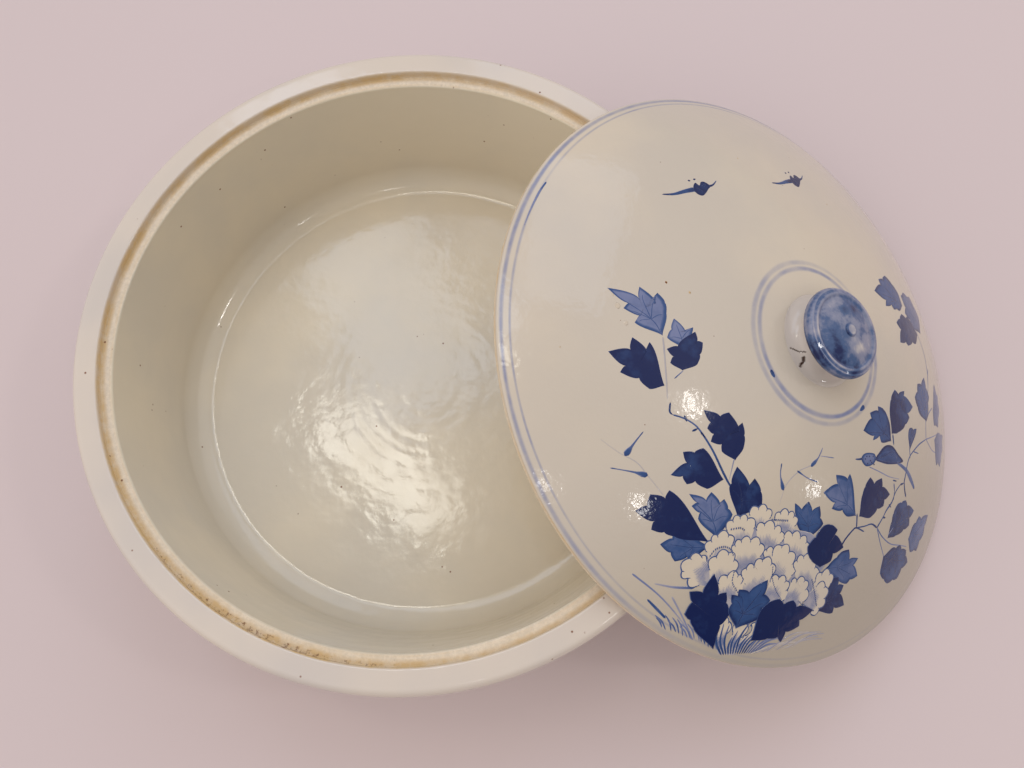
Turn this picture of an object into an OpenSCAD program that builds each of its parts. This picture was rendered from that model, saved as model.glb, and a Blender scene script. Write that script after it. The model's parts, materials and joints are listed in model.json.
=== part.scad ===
// Lidded serving bowl: a wide thrown bowl with a recessed seat for its lid, a domed lid
// and the lid's turned button knob. The lid is off the bowl and leans on the bowl's rim,
// with its low edge on the table.
// Millimetres. +Z is up, the origin is on the bowl's axis in the plane that it stands on,
// and the lid leans down towards +X.

/* [Bowl] */
// Outer radius of the bowl at its rim
rim_r = 125; // [112:1:140]
// Height of the bowl from the table to the top of its rim
bowl_h = 83; // [74:1:95]
// Width of the glazed rim outside the lid seat
rim_w = 9.6; // [8:0.1:12]
// Rounding of the rim's outer shoulder
rim_round = 3; // [2:0.1:4]
// Rounding of the small edges at the lid seat
seat_round = 0.9; // [0.5:0.1:1.3]
// Depth of the lid seat below the rim
seat_d = 3.6; // [3:0.1:5]
// Width of the ledge that carries the lid
ledge_w = 4.4; // [3.5:0.1:6]
// Height of the thick collar round the rim, measured outside
collar_h = 13; // [11:0.5:18]
// Thickness of the wall below the collar
wall_t = 7.5; // [6:0.5:8.5]
// Thickness of the floor at its edge
floor_t = 7.5; // [6:0.5:9]
// How far the floor sinks from its edge to its middle
floor_sink = 1.5; // [0.5:0.1:2.5]
// How far the inner wall draws in from the ledge to the floor
wall_draft = 6; // [4:0.5:9]
// Radius of the curve between the inner wall and the floor
corner_r = 11; // [8:1:16]

/* [Foot ring] */
// Outer radius of the foot ring
foot_r = 80; // [70:1:86]
// Height of the foot ring
foot_h = 10.6; // [9:0.1:13]
// Width of the foot ring
foot_w = 7.5; // [6:0.5:10]
// Rounding of the foot ring's inner edge on the table
foot_round = 1.5; // [1:0.1:2]
// Radius of the coves where the foot ring meets the underside
foot_cove = 3; // [2:0.1:4]

/* [Lid] */
// Clearance between the lid's edge and the wall of its seat
lid_gap = 0.8; // [0.5:0.1:1.5]
// Height of the lid's dome over the plane of its edge
dome_h = 37.3; // [32:0.1:44]
// Thickness of the lid at its middle
lid_t = 6; // [5:0.1:7]
// Width of the flat tread under the lid's edge
tread_w = 6; // [5:0.1:7]
// Height of the upright band at the lid's edge
band_h = 2.6; // [2:0.1:3.5]
// Height of the small step inside the lid's edge
lip_h = 1.6; // [1.2:0.1:2.4]
// Rounding of the lid's edges
lid_round = 1; // [0.6:0.1:1.1]

/* [Knob] */
// Largest radius of the knob's head
knob_r = 16.75; // [14:0.05:19]
// Height of the knob over its seat on the dome
knob_h = 14.4; // [13:0.1:18]
// Radius of the knob's spread base
knob_base_r = 17.5; // [16:0.1:20]
// Radius of the knob's neck
neck_r = 12; // [10:0.1:13]
// Thickness of the knob's head
head_t = 8; // [7:0.1:9]
// Radius of the turned pip in the middle of the head
pip_r = 2.4; // [1.8:0.1:3]

/* [Leaning lid] */
// Turn round the lid, in degrees from its lowest point, to where the rim carries it
touch_turn = 122.4; // [118:0.1:126]
// Clearance between the lid and the rim that carries it
lean_gap = 0.4; // [0.3:0.05:0.8]
// Height of the lid's low edge over the table
table_gap = 0.05; // [0:0.05:0.3]

/* [Hidden] */
$fn = 144;

glaze = [0.86, 0.84, 0.78];
lid_glaze = [0.88, 0.86, 0.82];
cobalt = [0.33, 0.42, 0.62];

// Steps in a small rounding, a corner curve and a wide shallow curve
round_steps = 6;
corner_steps = 12;
cap_steps = 24;

// Bowl: radii and heights that follow from the driving sizes
seat_r = rim_r - rim_w;
mouth_r = seat_r - ledge_w;
ledge_z = bowl_h - seat_d;
floor_z = foot_h + floor_t;
inner_foot_r = mouth_r - wall_draft;
corner_x = inner_foot_r - corner_r;
corner_z = floor_z + corner_r;
collar_z = bowl_h - collar_h;

// The inner wall leans out from the corner curve to the ledge
lean_out = atan(wall_draft / (ledge_z - corner_z));
// The outer wall at the collar's lower end
wall_top_r = inner_foot_r + (collar_z - corner_z) * tan(lean_out) + wall_t;

// Foot ring
foot_in_r = foot_r - foot_w;

// Lid: its dome and its hollow are caps of two spheres
lid_r = seat_r - lid_gap;
tread_in = lid_r - tread_w;
crown_h = dome_h - band_h;
crown_r = (lid_r * lid_r + crown_h * crown_h) / (2 * crown_h);
hollow_h = dome_h - lid_t - lip_h;
hollow_r = (tread_in * tread_in + hollow_h * hollow_h) / (2 * hollow_h);
function crown_z(r) = sqrt(crown_r * crown_r - r * r) - (crown_r - crown_h) + band_h;
knob_z = crown_z(knob_base_r);

// Knob: heights over its seat, and shares of its own sizes
head_z = knob_h - head_t;
cove_r = knob_base_r - neck_r;
head_drop_share = 0.36;
ridge_share = 0.84;
ridge_rise_share = 0.7;
groove_share = 0.76;
groove_sink_share = 0.05;
pip_rise_share = 0.09;

// Leaning lid: the inner edge of its tread lies on the rim's shoulder, where the shoulder
// has this slope in degrees, and the rounding of its low edge lies on the table
shoulder_slope = 24;
touch_r = rim_r - rim_round * (1 - sin(shoulder_slope));
touch_z = bowl_h - rim_round * (1 - cos(shoulder_slope)) + lean_gap;
reach = lid_r - lid_round - tread_in * cos(touch_turn);
lean = atan(lid_round / reach)
     + asin((touch_z - table_gap - lid_round) / sqrt(reach * reach + lid_round * lid_round));
lean_z = table_gap + lid_round * (1 - cos(lean)) + (lid_r - lid_round) * sin(lean);
lean_x = sqrt(pow(touch_r, 2) - pow(tread_in * sin(touch_turn), 2))
       - tread_in * cos(touch_turn) * cos(lean);

// Points of an arc about (x, z), from one angle to another
function arc(x, z, r, from, to, steps) =
    [for (i = [0:steps]) let (a = from + (to - from) * i / steps) [x + r * cos(a), z + r * sin(a)]];

// Points of a shallow cap from the radius rim to the axis: apex is its height at the axis,
// r is its sphere's radius
function cap(rim, apex, r, steps) =
    [for (i = [0:steps]) let (x = rim * (1 - i / steps)) [x, apex - r + sqrt(r * r - x * x)]];

// The foot ring's tread, both of its sides and the coves beside it. Its outer side is a true
// cylinder down to the table, where it is cut square
foot_profile = concat(
    [[0, foot_h]],
    arc(foot_in_r - foot_cove, foot_h - foot_cove, foot_cove, 90, 0, round_steps),
    arc(foot_in_r + foot_round, foot_round, foot_round, 180, 270, round_steps),
    [[foot_r, 0]],
    arc(foot_r + foot_cove, foot_h - foot_cove, foot_cove, 180, 90, round_steps));

// The heel, the outer wall and the collar under the rim
outer_profile = concat(
    arc(corner_x, corner_z, corner_r + wall_t, 270, 360 - lean_out, corner_steps),
    [[wall_top_r, collar_z]],
    arc(rim_r - rim_round, collar_z + 2 * rim_round, rim_round, -45, 0, round_steps),
    arc(rim_r - rim_round, bowl_h - rim_round, rim_round, 0, 90, corner_steps));

// The lid seat, the inner wall and the floor
inner_profile = concat(
    arc(seat_r + seat_round, bowl_h - seat_round, seat_round, 90, 180, round_steps),
    [[seat_r, ledge_z]],
    arc(mouth_r + seat_round, ledge_z - seat_round, seat_round, 90, 180, round_steps),
    arc(corner_x, corner_z, corner_r, -lean_out, -90, corner_steps),
    [for (i = [1:cap_steps]) let (s = i / cap_steps)
        [corner_x * (1 - s), floor_z - floor_sink * (1 - pow(1 - s, 2))]]);

lid_profile = concat(
    cap(tread_in, dome_h - lid_t, hollow_r, cap_steps),
    [[0, knob_z], [knob_base_r, knob_z]],
    [for (i = [1:cap_steps]) let (x = knob_base_r + (lid_r - lid_round - knob_base_r) * i / cap_steps)
        [x, crown_z(x)]],
    [[lid_r, band_h]],
    arc(lid_r - lid_round, lid_round, lid_round, 0, -90, round_steps),
    [[tread_in, 0]]);

head_drop = head_t * head_drop_share;
ridge_r = knob_r * ridge_share;
ridge_z = head_z + head_t * ridge_rise_share;
groove_r = knob_r * groove_share;
groove_z = ridge_z - head_t * groove_sink_share;
pip_z = knob_h - head_t * pip_rise_share;

knob_profile = concat(
    [[0, 0], [knob_base_r, 0]],
    arc(knob_base_r, cove_r, cove_r, 270, 180, corner_steps),
    [[neck_r, head_z]],
    arc(knob_r - head_drop, head_z + head_drop, head_drop, -60, 40, corner_steps),
    [[ridge_r, ridge_z], [groove_r, groove_z]],
    [for (i = [1:corner_steps]) let (s = i / corner_steps)
        [groove_r + (pip_r - groove_r) * s, groove_z + (pip_z - groove_z) * sin(90 * s)]],
    [[pip_r, knob_h], [0, knob_h]]);

// Moves a shape from the lid's own place, tread down on the origin, to where the lid leans
module leaning() {
    translate([lean_x, 0, lean_z]) rotate([0, lean, 0]) children();
}

module bowl() {
    color(glaze) rotate_extrude() polygon(concat(foot_profile, outer_profile, inner_profile));
}

module lid() {
    color(lid_glaze) leaning() rotate_extrude() polygon(lid_profile);
}

module lid_knob() {
    color(cobalt) leaning() translate([0, 0, knob_z]) rotate_extrude() polygon(knob_profile);
}

bowl();
lid();
lid_knob();
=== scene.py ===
import json
import math

import bpy
import numpy as np
from bpy.props import FloatProperty, FloatVectorProperty, PointerProperty
from mathutils import Matrix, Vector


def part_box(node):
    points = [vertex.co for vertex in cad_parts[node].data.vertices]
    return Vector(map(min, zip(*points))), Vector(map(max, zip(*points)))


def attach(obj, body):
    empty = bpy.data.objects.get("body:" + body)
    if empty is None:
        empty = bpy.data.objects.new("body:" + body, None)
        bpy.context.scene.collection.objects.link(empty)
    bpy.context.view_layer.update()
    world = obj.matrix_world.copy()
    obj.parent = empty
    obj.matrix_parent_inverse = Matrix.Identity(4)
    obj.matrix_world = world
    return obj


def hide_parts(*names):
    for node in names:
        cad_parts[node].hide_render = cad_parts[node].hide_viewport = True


bl_info = {
    "name": "Lidded serving bowl",
    "version": (1, 0, 0),
    "blender": (4, 5, 0),
    "location": "3D View > Sidebar > Serving bowl",
    "description": "A glazed bowl with a leaning, brush painted lid",
    "category": "Add Mesh",
}

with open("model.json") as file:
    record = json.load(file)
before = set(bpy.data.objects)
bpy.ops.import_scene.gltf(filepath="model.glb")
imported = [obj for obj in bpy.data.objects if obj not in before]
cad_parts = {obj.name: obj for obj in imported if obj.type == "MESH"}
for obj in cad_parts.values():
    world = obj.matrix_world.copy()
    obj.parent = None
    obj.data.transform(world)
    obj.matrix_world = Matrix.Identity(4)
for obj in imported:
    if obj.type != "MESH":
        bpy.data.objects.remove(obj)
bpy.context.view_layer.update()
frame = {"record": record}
MM = 0.001
BOWL_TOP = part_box("bowl")[1]
LID_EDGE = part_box("lid")[1]
KNOB_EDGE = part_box("lid_knob")[1]
FOOT = next(m for m in frame["record"]["mounts"] if m["name"] == "foot_ring")["dims"]

# How far apart the points of a profile lie at most, and how many turns each piece has
SPACING, SEAT_SPACING, KNOB_SPACING = 2.8 * MM, 0.8 * MM, 0.35 * MM
BOWL_TURNS, LID_TURNS, KNOB_TURNS = 340, 416, 200
# Steps in a small rounding and in the profiles' larger curves
ROUND_STEPS, RIM_STEPS, HEEL_STEPS, CORNER_STEPS, FLOOR_STEPS = 8, 18, 20, 30, 71
HOLLOW_STEPS, NECK_STEPS, RIDGE_STEPS, CROWN_STEPS, PIP_STEPS = 35, 24, 4, 39, 6
# The dome's points lie closer under the turned lines, which reach this far in from its edge, and
# between these radii round the knob. Its steps are counted from the edge inwards
EDGE_LINES_W, KNOB_LINES_OUT, KNOB_LINES_IN = 6 * MM, 33 * MM, 26 * MM
DOME_STEPS = (18, 50, 20, 7)
# The knob's turned details. How far out they lie is a share of its radius, and how high they
# lie is a share of the thickness of its head
RIDGE_OUT, GROOVE_OUT, SHOULDER_OUT = 0.84, 0.76, 0.93
RIDGE_RISE, GROOVE_RISE, SHOULDER_RISE, HEAD_DROP, PIP_SINK = 0.7, 0.65, 0.6, 0.36, 0.09


def length(name, default, description):
    """A size in metres that a user may change."""
    return FloatProperty(name=name, default=default, description=description, min=0.0,
                         unit="LENGTH")


def colour(name, default, description):
    """A colour that a user may change, written as the eye sees it."""
    return FloatVectorProperty(name=name, default=default, description=description,
                               subtype="COLOR_GAMMA", size=3, min=0.0, max=1.0)


class BowlSizes(bpy.types.PropertyGroup):
    """Sizes of the bowl."""
    rim_r: length("Rim radius", BOWL_TOP.y, "Outer radius of the bowl at its rim")
    height: length("Height", BOWL_TOP.z, "Height of the rim over the table")
    rim_w: length("Rim width", 9.6 * MM, "Width of the glazed rim outside the lid seat")
    rim_round: length("Rim rounding", 3 * MM, "Rounding of the rim's outer shoulder")
    seat_round: length("Seat rounding", 0.9 * MM, "Rounding of the small edges at the lid seat")
    seat_d: length("Seat depth", 3.6 * MM, "Depth of the lid seat below the rim")
    ledge_w: length("Ledge width", 4.4 * MM, "Width of the ledge that carries the lid")
    collar_h: length("Collar height", 13 * MM, "Height of the thick collar round the rim")
    wall_t: length("Wall", 7.5 * MM, "Thickness of the wall below the collar")
    floor_t: length("Floor", 7.5 * MM, "Thickness of the floor at its edge")
    floor_sink: length("Floor sink", 1.5 * MM, "How far the floor sinks to its middle")
    wall_draft: length("Wall draft", 6 * MM, "How far the inner wall draws in to the floor")
    corner_r: length("Corner radius", 11 * MM, "Curve between the inner wall and the floor")
    foot_r: length("Foot radius", FOOT["r_mm"] * MM, "Outer radius of the foot ring")
    foot_h: length("Foot height", 10.6 * MM, "Height of the foot ring")
    foot_w: length("Foot width", 7.5 * MM, "Width of the foot ring")
    foot_round: length("Foot rounding", 1.5 * MM, "Rounding of the foot's inner edge")
    foot_cove: length("Foot cove", 3 * MM, "Coves where the foot meets the underside")
    ring_depth: length("Throwing rings", 0.045 * MM, "Height of the rings left by the fingers")


class LidSizes(bpy.types.PropertyGroup):
    """Sizes of the lid, its knob and the way that it leans."""
    lid_r: length("Lid radius", LID_EDGE.y, "Outer radius of the lid")
    dome_h: length("Dome height", 37.3 * MM, "Height of the dome over the lid's edge")
    lid_t: length("Lid thickness", 6 * MM, "Thickness of the lid at its middle")
    tread_w: length("Tread width", 6 * MM, "Width of the bare tread under the edge")
    band_h: length("Band height", 2.6 * MM, "Height of the upright band at the edge")
    lip_h: length("Lip height", 1.6 * MM, "Height of the step inside the edge")
    lid_round: length("Edge rounding", 1 * MM, "Rounding of the tread's outer edge")
    shoulder_round: length("Shoulder rounding", 0.9 * MM, "Rounding where the dome meets its band")
    knob_r: length("Knob radius", 16.75 * MM, "Largest radius of the knob's head")
    knob_h: length("Knob height", 14.4 * MM, "Height of the knob over its seat")
    knob_base_r: length("Knob base radius", KNOB_EDGE.y, "Radius of the knob's spread base")
    neck_r: length("Neck radius", 12 * MM, "Radius of the knob's neck")
    head_t: length("Head thickness", 8 * MM, "Thickness of the knob's head")
    pip_r: length("Pip radius", 2.4 * MM, "Radius of the turned pip on the knob")
    lean_gap: length("Lean clearance", 0.4 * MM, "Clearance between the lid and the rim")
    table_gap: length("Table clearance", 0.05 * MM, "Height of the low edge over the table")
    touch_turn: FloatProperty(name="Touch turn", default=math.radians(122.4), subtype="ANGLE",
                              description="Turn round the lid from its lowest point to the touch")
    shoulder_slope: FloatProperty(name="Shoulder slope", default=math.radians(24), subtype="ANGLE",
                                  description="Slope of the rim where it carries the lid")


class GlazeColours(bpy.types.PropertyGroup):
    """Colours of the clay, the glaze and the brush painting."""
    bowl_glaze: colour("Bowl glaze", (0.86, 0.82, 0.745), "Glaze of the bowl")
    rim_glaze: colour("Rim glaze", (0.83, 0.785, 0.745), "Glaze of the rim, which is whiter")
    lid_glaze: colour("Lid glaze", (0.82, 0.77, 0.705), "Glaze of the lid")
    bare_clay: colour("Bare clay", (0.92, 0.865, 0.785), "Unglazed body")
    ochre_stain: colour("Ochre stain", (0.83, 0.715, 0.53), "Golden stain beside bare clay")
    iron_stain: colour("Iron stain", (0.42, 0.22, 0.10), "Brown of the iron spots")
    pale_wash: colour("Pale wash", (0.47, 0.50, 0.64), "Thin cobalt wash")
    mid_wash: colour("Middle wash", (0.185, 0.30, 0.50), "Cobalt wash of middle strength")
    deep_wash: colour("Deep wash", (0.01, 0.095, 0.305), "Full cobalt wash")
    knob_wash: colour("Knob wash", (0.53, 0.54, 0.625), "Thin grey wash of the knob")
    knob_brush: colour("Knob brush marks", (0.25, 0.345, 0.51), "Cobalt in the knob's brush marks")


class StageLook(bpy.types.PropertyGroup):
    """Colours of the table and the sky, the table's roughness and the sky's strength."""
    table: colour("Table", (0.83, 0.765, 0.765), "Colour of the table")
    table_roughness: FloatProperty(name="Table roughness", default=0.55, min=0.0, max=1.0,
                                   subtype="FACTOR", description="How dull the table is")
    sky: colour("Sky", (1.0, 0.975, 0.96), "Colour of the light from all round")
    sky_strength: FloatProperty(name="Sky strength", default=0.12, min=0.0,
                                description="Strength of the light where the sky is dimmest")


def linear(seen):
    """A colour as the eye sees it, turned into the linear colour that a shader takes."""
    c = np.asarray(seen, float)
    return (*np.where(c <= 0.04045, c / 12.92, ((c + 0.055) / 1.055) ** 2.4), 1.0)


def arc(x, z, r, start, end, steps=12):
    """Points of a circle's arc about (x, z), between two angles in degrees."""
    a = np.radians(np.linspace(start, end, steps + 1))
    return np.stack([x + r * np.cos(a), z + r * np.sin(a)], 1)


def refined(profile, spacing):
    """The profile with points added along its straight runs, so that no step is over the spacing,
    which is one length or one for each step."""
    steps = np.diff(profile, axis=0)
    counts = np.maximum(1, np.ceil(np.hypot(*steps.T) / spacing)).astype(int)
    run = np.repeat(np.arange(len(steps)), counts)
    share = (np.arange(counts.sum()) - np.repeat(np.cumsum(counts) - counts, counts)) / counts[run]
    return np.vstack([profile[run] + share[:, None] * steps[run], profile[-1]])


def smooth_step(low, high, x):
    """0 below low, 1 above high and a smooth rise between: 3t^2 - 2t^3."""
    t = np.clip((x - low) / (high - low), 0, 1)
    return t * t * (3 - 2 * t)


def uneven(angle, seed, waves=(2, 3, 5, 9, 17, 31)):
    """A value about 0 that wanders round a circle: a sum of sines whose phases follow the seed."""
    phases = np.random.default_rng(seed).uniform(0, 2 * np.pi, len(waves))
    return sum(np.sin(n * angle + p) / np.sqrt(n) for n, p in zip(waves, phases)) / 2


def add_mesh(name, points, faces, material, smooth, layers):
    """A new object at the origin. faces is a list of index arrays, each with one corner count;
    smooth is one flag for each of those arrays; layers are values at the points."""
    mesh = bpy.data.meshes.new(name)
    mesh.vertices.add(len(points))
    mesh.vertices.foreach_set("co", np.asarray(points, np.float32).ravel())
    sizes = np.concatenate([np.full(len(f), f.shape[1]) for f in faces])
    mesh.loops.add(int(sizes.sum()))
    corners = np.concatenate([f.ravel() for f in faces])
    mesh.loops.foreach_set("vertex_index", corners.astype(np.int32))
    mesh.polygons.add(len(sizes))
    mesh.polygons.foreach_set("loop_start", (np.cumsum(sizes) - sizes).astype(np.int32))
    flags = np.concatenate([np.full(len(f), s) for f, s in zip(faces, smooth)])
    mesh.update(calc_edges=True)
    mesh.polygons.foreach_set("use_smooth", flags)
    for layer, values in layers.items():
        made = mesh.attributes.new(layer, "FLOAT", "POINT")
        made.data.foreach_set("value", values.astype(np.float32))
    mesh.materials.append(material)
    piece = bpy.data.objects.new(name, mesh)
    bpy.context.scene.collection.objects.link(piece)
    return piece


def turned(profile, turns):
    """A turned surface as points and faces. Profile point (r, z) at turn a gives the vertex
    (r cos a, r sin a, z), and the profile's two ends lie on the axis as single points."""
    a = np.arange(turns) * 2 * np.pi / turns
    r, z = profile[1:-1].T
    ways = (np.cos(a), np.sin(a), np.ones(turns))
    rings = np.stack([np.outer(along, way) for along, way in zip((r, r, z), ways)], -1)
    points = np.vstack([[0, 0, profile[0, 1]], rings.reshape(-1, 3), [0, 0, profile[-1, 1]]])
    place = 1 + np.arange(len(r) * turns).reshape(len(r), turns)
    beside = np.roll(place, -1, 1)
    quads = np.stack([place[:-1], beside[:-1], beside[1:], place[1:]], -1).reshape(-1, 4)
    first = np.stack([np.zeros_like(place[0]), beside[0], place[0]], -1)
    last = np.stack([np.full_like(place[0], len(points) - 1), place[-1], beside[-1]], -1)
    return points, [quads, first, last]


def lean_of(bowl, lid):
    """The turn of the leaning lid about Y, and the place of the middle of its tread plane.
    The tread's inner edge lies on the rim's shoulder and the low edge lies on the table."""
    touch_r = bowl.rim_r - bowl.rim_round * (1 - math.sin(lid.shoulder_slope))
    touch_z = bowl.height - bowl.rim_round * (1 - math.cos(lid.shoulder_slope)) + lid.lean_gap
    tread_in = lid.lid_r - lid.tread_w
    low_r = lid.lid_r - lid.lid_round
    reach = low_r - tread_in * math.cos(lid.touch_turn)
    lean = math.atan(lid.lid_round / reach) + math.asin(
        (touch_z - lid.table_gap - lid.lid_round) / math.hypot(reach, lid.lid_round))
    z = lid.table_gap + lid.lid_round * (1 - math.cos(lean)) + low_r * math.sin(lean)
    x = math.sqrt(touch_r ** 2 - (tread_in * math.sin(lid.touch_turn)) ** 2)
    return lean, x - tread_in * math.cos(lid.touch_turn) * math.cos(lean), z


def leaning(points):
    """Points of the lid's own upright frame, moved to where the lid leans."""
    scene = bpy.context.scene
    lean, x, z = lean_of(scene.bowl_sizes, scene.lid_sizes)
    c, s = math.cos(lean), math.sin(lean)
    return points @ np.array([[c, 0, -s], [0, 1, 0], [s, 0, c]]) + [x, 0, z]


def crown_of(lid):
    """Radius of the sphere that the lid's dome is a cap of, and the height of its middle. The
    cap meets the top of the edge band."""
    crown_h = lid.dome_h - lid.band_h
    crown_r = (lid.lid_r ** 2 + crown_h ** 2) / (2 * crown_h)
    return crown_r, lid.dome_h - crown_r


def crown_z(r):
    """Height of the lid's dome at radius r."""
    crown_r, middle_z = crown_of(bpy.context.scene.lid_sizes)
    return np.sqrt(crown_r ** 2 - np.square(r)) + middle_z


def bowl_profile(s):
    """Half section of the bowl, from the middle of its underside to the middle of its floor."""
    seat_r = s.rim_r - s.rim_w
    mouth_r = seat_r - s.ledge_w
    ledge_z = s.height - s.seat_d
    floor_z = s.foot_h + s.floor_t
    corner_x = mouth_r - s.wall_draft - s.corner_r
    corner_z = floor_z + s.corner_r
    collar_z = s.height - s.collar_h
    lean_out = math.degrees(math.atan(s.wall_draft / (ledge_z - corner_z)))
    wall_top_r = (mouth_r - s.wall_draft + s.wall_t
                  + (collar_z - corner_z) * s.wall_draft / (ledge_z - corner_z))
    foot_in = s.foot_r - s.foot_w
    share = np.linspace(1, 0, FLOOR_STEPS + 1)[1:]
    profile = np.vstack([
        [[0, s.foot_h]],
        arc(foot_in - s.foot_cove, s.foot_h - s.foot_cove, s.foot_cove, 90, 0, ROUND_STEPS),
        arc(foot_in + s.foot_round, s.foot_round, s.foot_round, 180, 270, ROUND_STEPS),
        [[s.foot_r, 0]],
        arc(s.foot_r + s.foot_cove, s.foot_h - s.foot_cove, s.foot_cove, 180, 90, ROUND_STEPS),
        arc(corner_x, corner_z, s.corner_r + s.wall_t, 270, 360 - lean_out, HEEL_STEPS),
        [[wall_top_r, collar_z]],
        arc(s.rim_r - s.rim_round, collar_z + 2 * s.rim_round, s.rim_round, -45, 0),
        arc(s.rim_r - s.rim_round, s.height - s.rim_round, s.rim_round, 0, 90, RIM_STEPS),
        arc(seat_r + s.seat_round, s.height - s.seat_round, s.seat_round, 90, 180, ROUND_STEPS),
        [[seat_r, ledge_z]],
        arc(mouth_r + s.seat_round, ledge_z - s.seat_round, s.seat_round, 90, 180, ROUND_STEPS),
        arc(corner_x, corner_z, s.corner_r, -lean_out, -90, CORNER_STEPS),
        np.stack([corner_x * share, floor_z - s.floor_sink * (1 - share ** 2)], 1),
    ])
    at_seat = profile[:-1, 1] > ledge_z - 0.5 * s.seat_round
    return refined(profile, np.where(at_seat, SEAT_SPACING, SPACING))


def lid_profile(s):
    """Half section of the lid, from the middle of its hollow round its edge to its top."""
    tread_in = s.lid_r - s.tread_w
    hollow_h = s.dome_h - s.lid_t - s.lip_h
    hollow_r = (tread_in ** 2 + hollow_h ** 2) / (2 * hollow_h)
    crown_r, middle_z = crown_of(s)
    edge_r = s.lid_r - s.shoulder_round
    edge_z = middle_z + math.sqrt((crown_r - s.shoulder_round) ** 2 - edge_r ** 2)
    edge_turn = math.atan2(edge_z - middle_z, edge_r)
    inside = np.linspace(0, tread_in, HOLLOW_STEPS + 1)
    dome_r = edge_r + s.shoulder_round * math.cos(edge_turn)
    stops = (dome_r, dome_r - EDGE_LINES_W, KNOB_LINES_OUT, KNOB_LINES_IN, s.knob_base_r)
    top = np.concatenate([np.linspace(*run)[1:] for run in zip(stops, stops[1:], DOME_STEPS)])
    return refined(np.vstack([
        np.stack([inside, np.sqrt(hollow_r ** 2 - inside ** 2) - hollow_r + s.dome_h - s.lid_t], 1),
        [[tread_in, 0]],
        arc(s.lid_r - s.lid_round, s.lid_round, s.lid_round, -90, 0),
        arc(edge_r, edge_z, s.shoulder_round, 0, math.degrees(edge_turn), ROUND_STEPS),
        np.stack([top, crown_z(top)], 1),
        [[0, crown_z(s.knob_base_r)]],
    ]), SPACING)


def knob_profile(s):
    """Half section of the knob over its seat: flared neck, round head with a turned ridge and
    groove, low crown and the pip in its middle."""
    head_z = s.knob_h - s.head_t
    cove_r = s.knob_base_r - s.neck_r
    drop = s.head_t * HEAD_DROP
    ridge = np.array([s.knob_r * RIDGE_OUT, head_z + s.head_t * RIDGE_RISE])
    groove = np.array([s.knob_r * GROOVE_OUT, head_z + s.head_t * GROOVE_RISE])
    pip = np.array([s.pip_r, s.knob_h - s.head_t * PIP_SINK])
    share = np.linspace(0, 1, CROWN_STEPS + 1)[1:, None]
    soft = s.pip_r * 0.25
    return refined(np.vstack([
        [[0, 0]],
        arc(s.knob_base_r, cove_r, cove_r, 270, 180, NECK_STEPS),
        [[s.neck_r, head_z]],
        arc(s.knob_r - drop, head_z + drop, drop, -60, 40, NECK_STEPS),
        ridge + np.outer(np.linspace(0, 1, RIDGE_STEPS + 1), groove - ridge),
        groove + (pip - groove) * np.hstack([share, np.sin(share * np.pi / 2)]),
        arc(s.pip_r - soft, s.knob_h - soft, soft, 0, 90, PIP_STEPS),
        [[0, s.knob_h]],
    ]), KNOB_SPACING)


def add(tree, kind, sockets=None, **settings):
    """A new shader node. A socket's value is a number, a colour or another node's output."""
    made = tree.nodes.new(kind)
    for name, value in settings.items():
        setattr(made, name, value)
    for name, value in (sockets or {}).items():
        if isinstance(value, bpy.types.NodeSocket):
            tree.links.new(value, made.inputs[name])
        else:
            made.inputs[name].default_value = value
    return made


def new_material(name):
    """A new node material: itself, its tree, its shader and the place on the object."""
    material = bpy.data.materials.new(name)
    material.use_nodes = True
    tree = material.node_tree
    place = add(tree, "ShaderNodeTexCoord").outputs["Object"]
    return material, tree, tree.nodes["Principled BSDF"], place


# Waves a metre in each of the noises that make the glazes and the clay uneven
WAVES = {"clouds": 14.0, "sheen": 60.0, "spread": 70.0, "swells": 95.0, "blots": 110.0,
         "patches": 130.0, "pools": 170.0, "peel": 420.0, "sand": 900.0, "grit": 2400.0}
# Cells a metre that may each hold one iron speck, and the specks' colour
SPECK_CELLS = 160.0
SPECK_COLOUR = (0.47, 0.28, 0.15)
# Depth of the glaze's bump, and the heights of its swells, its dimples and the clay's grit in it
BUMP_DEPTH = 0.05 * MM
SWELL_HEIGHT, DIMPLE_HEIGHT, INNER_DIMPLE_HEIGHT, GRIT_HEIGHT = 3.0, 1.6, 0.55, 1.2
# Roughness of the glaze, from its glossiest to its dullest, and how much duller bare clay is
GLAZE_SHEEN = (0.07, 0.13)
CLAY_DULLNESS = 0.62


def noise(tree, place, waves, detail=3.0, roughness=0.5):
    """Cloudy noise of one of the named waves."""
    sockets = {"Vector": place, "Scale": WAVES[waves], "Detail": detail, "Roughness": roughness}
    return add(tree, "ShaderNodeTexNoise", sockets).outputs["Fac"]


def ranged(tree, value, low, high, to_low=0.0, to_high=1.0):
    """The value carried from one range to another with smooth ends."""
    sockets = {"Value": value, "From Min": low, "From Max": high, "To Min": to_low,
               "To Max": to_high}
    return add(tree, "ShaderNodeMapRange", sockets, interpolation_type="SMOOTHSTEP").outputs[0]


def mixed(tree, share, a, b):
    """Colour a turned into colour b by the share. The node's sockets go by number, because those
    of its other data types have the same names."""
    return add(tree, "ShaderNodeMix", {0: share, 6: a, 7: b}, data_type="RGBA").outputs[2]


def sum_of(tree, a, b):
    """Two values added up."""
    return add(tree, "ShaderNodeMath", {0: a, 1: b}, operation="ADD").outputs[0]


def product_of(tree, a, b):
    """Two values multiplied."""
    return add(tree, "ShaderNodeMath", {0: a, 1: b}, operation="MULTIPLY").outputs[0]


def attribute(tree, name):
    """A value that the mesh holds at its points."""
    return add(tree, "ShaderNodeAttribute", attribute_name=name).outputs["Fac"]


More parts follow.
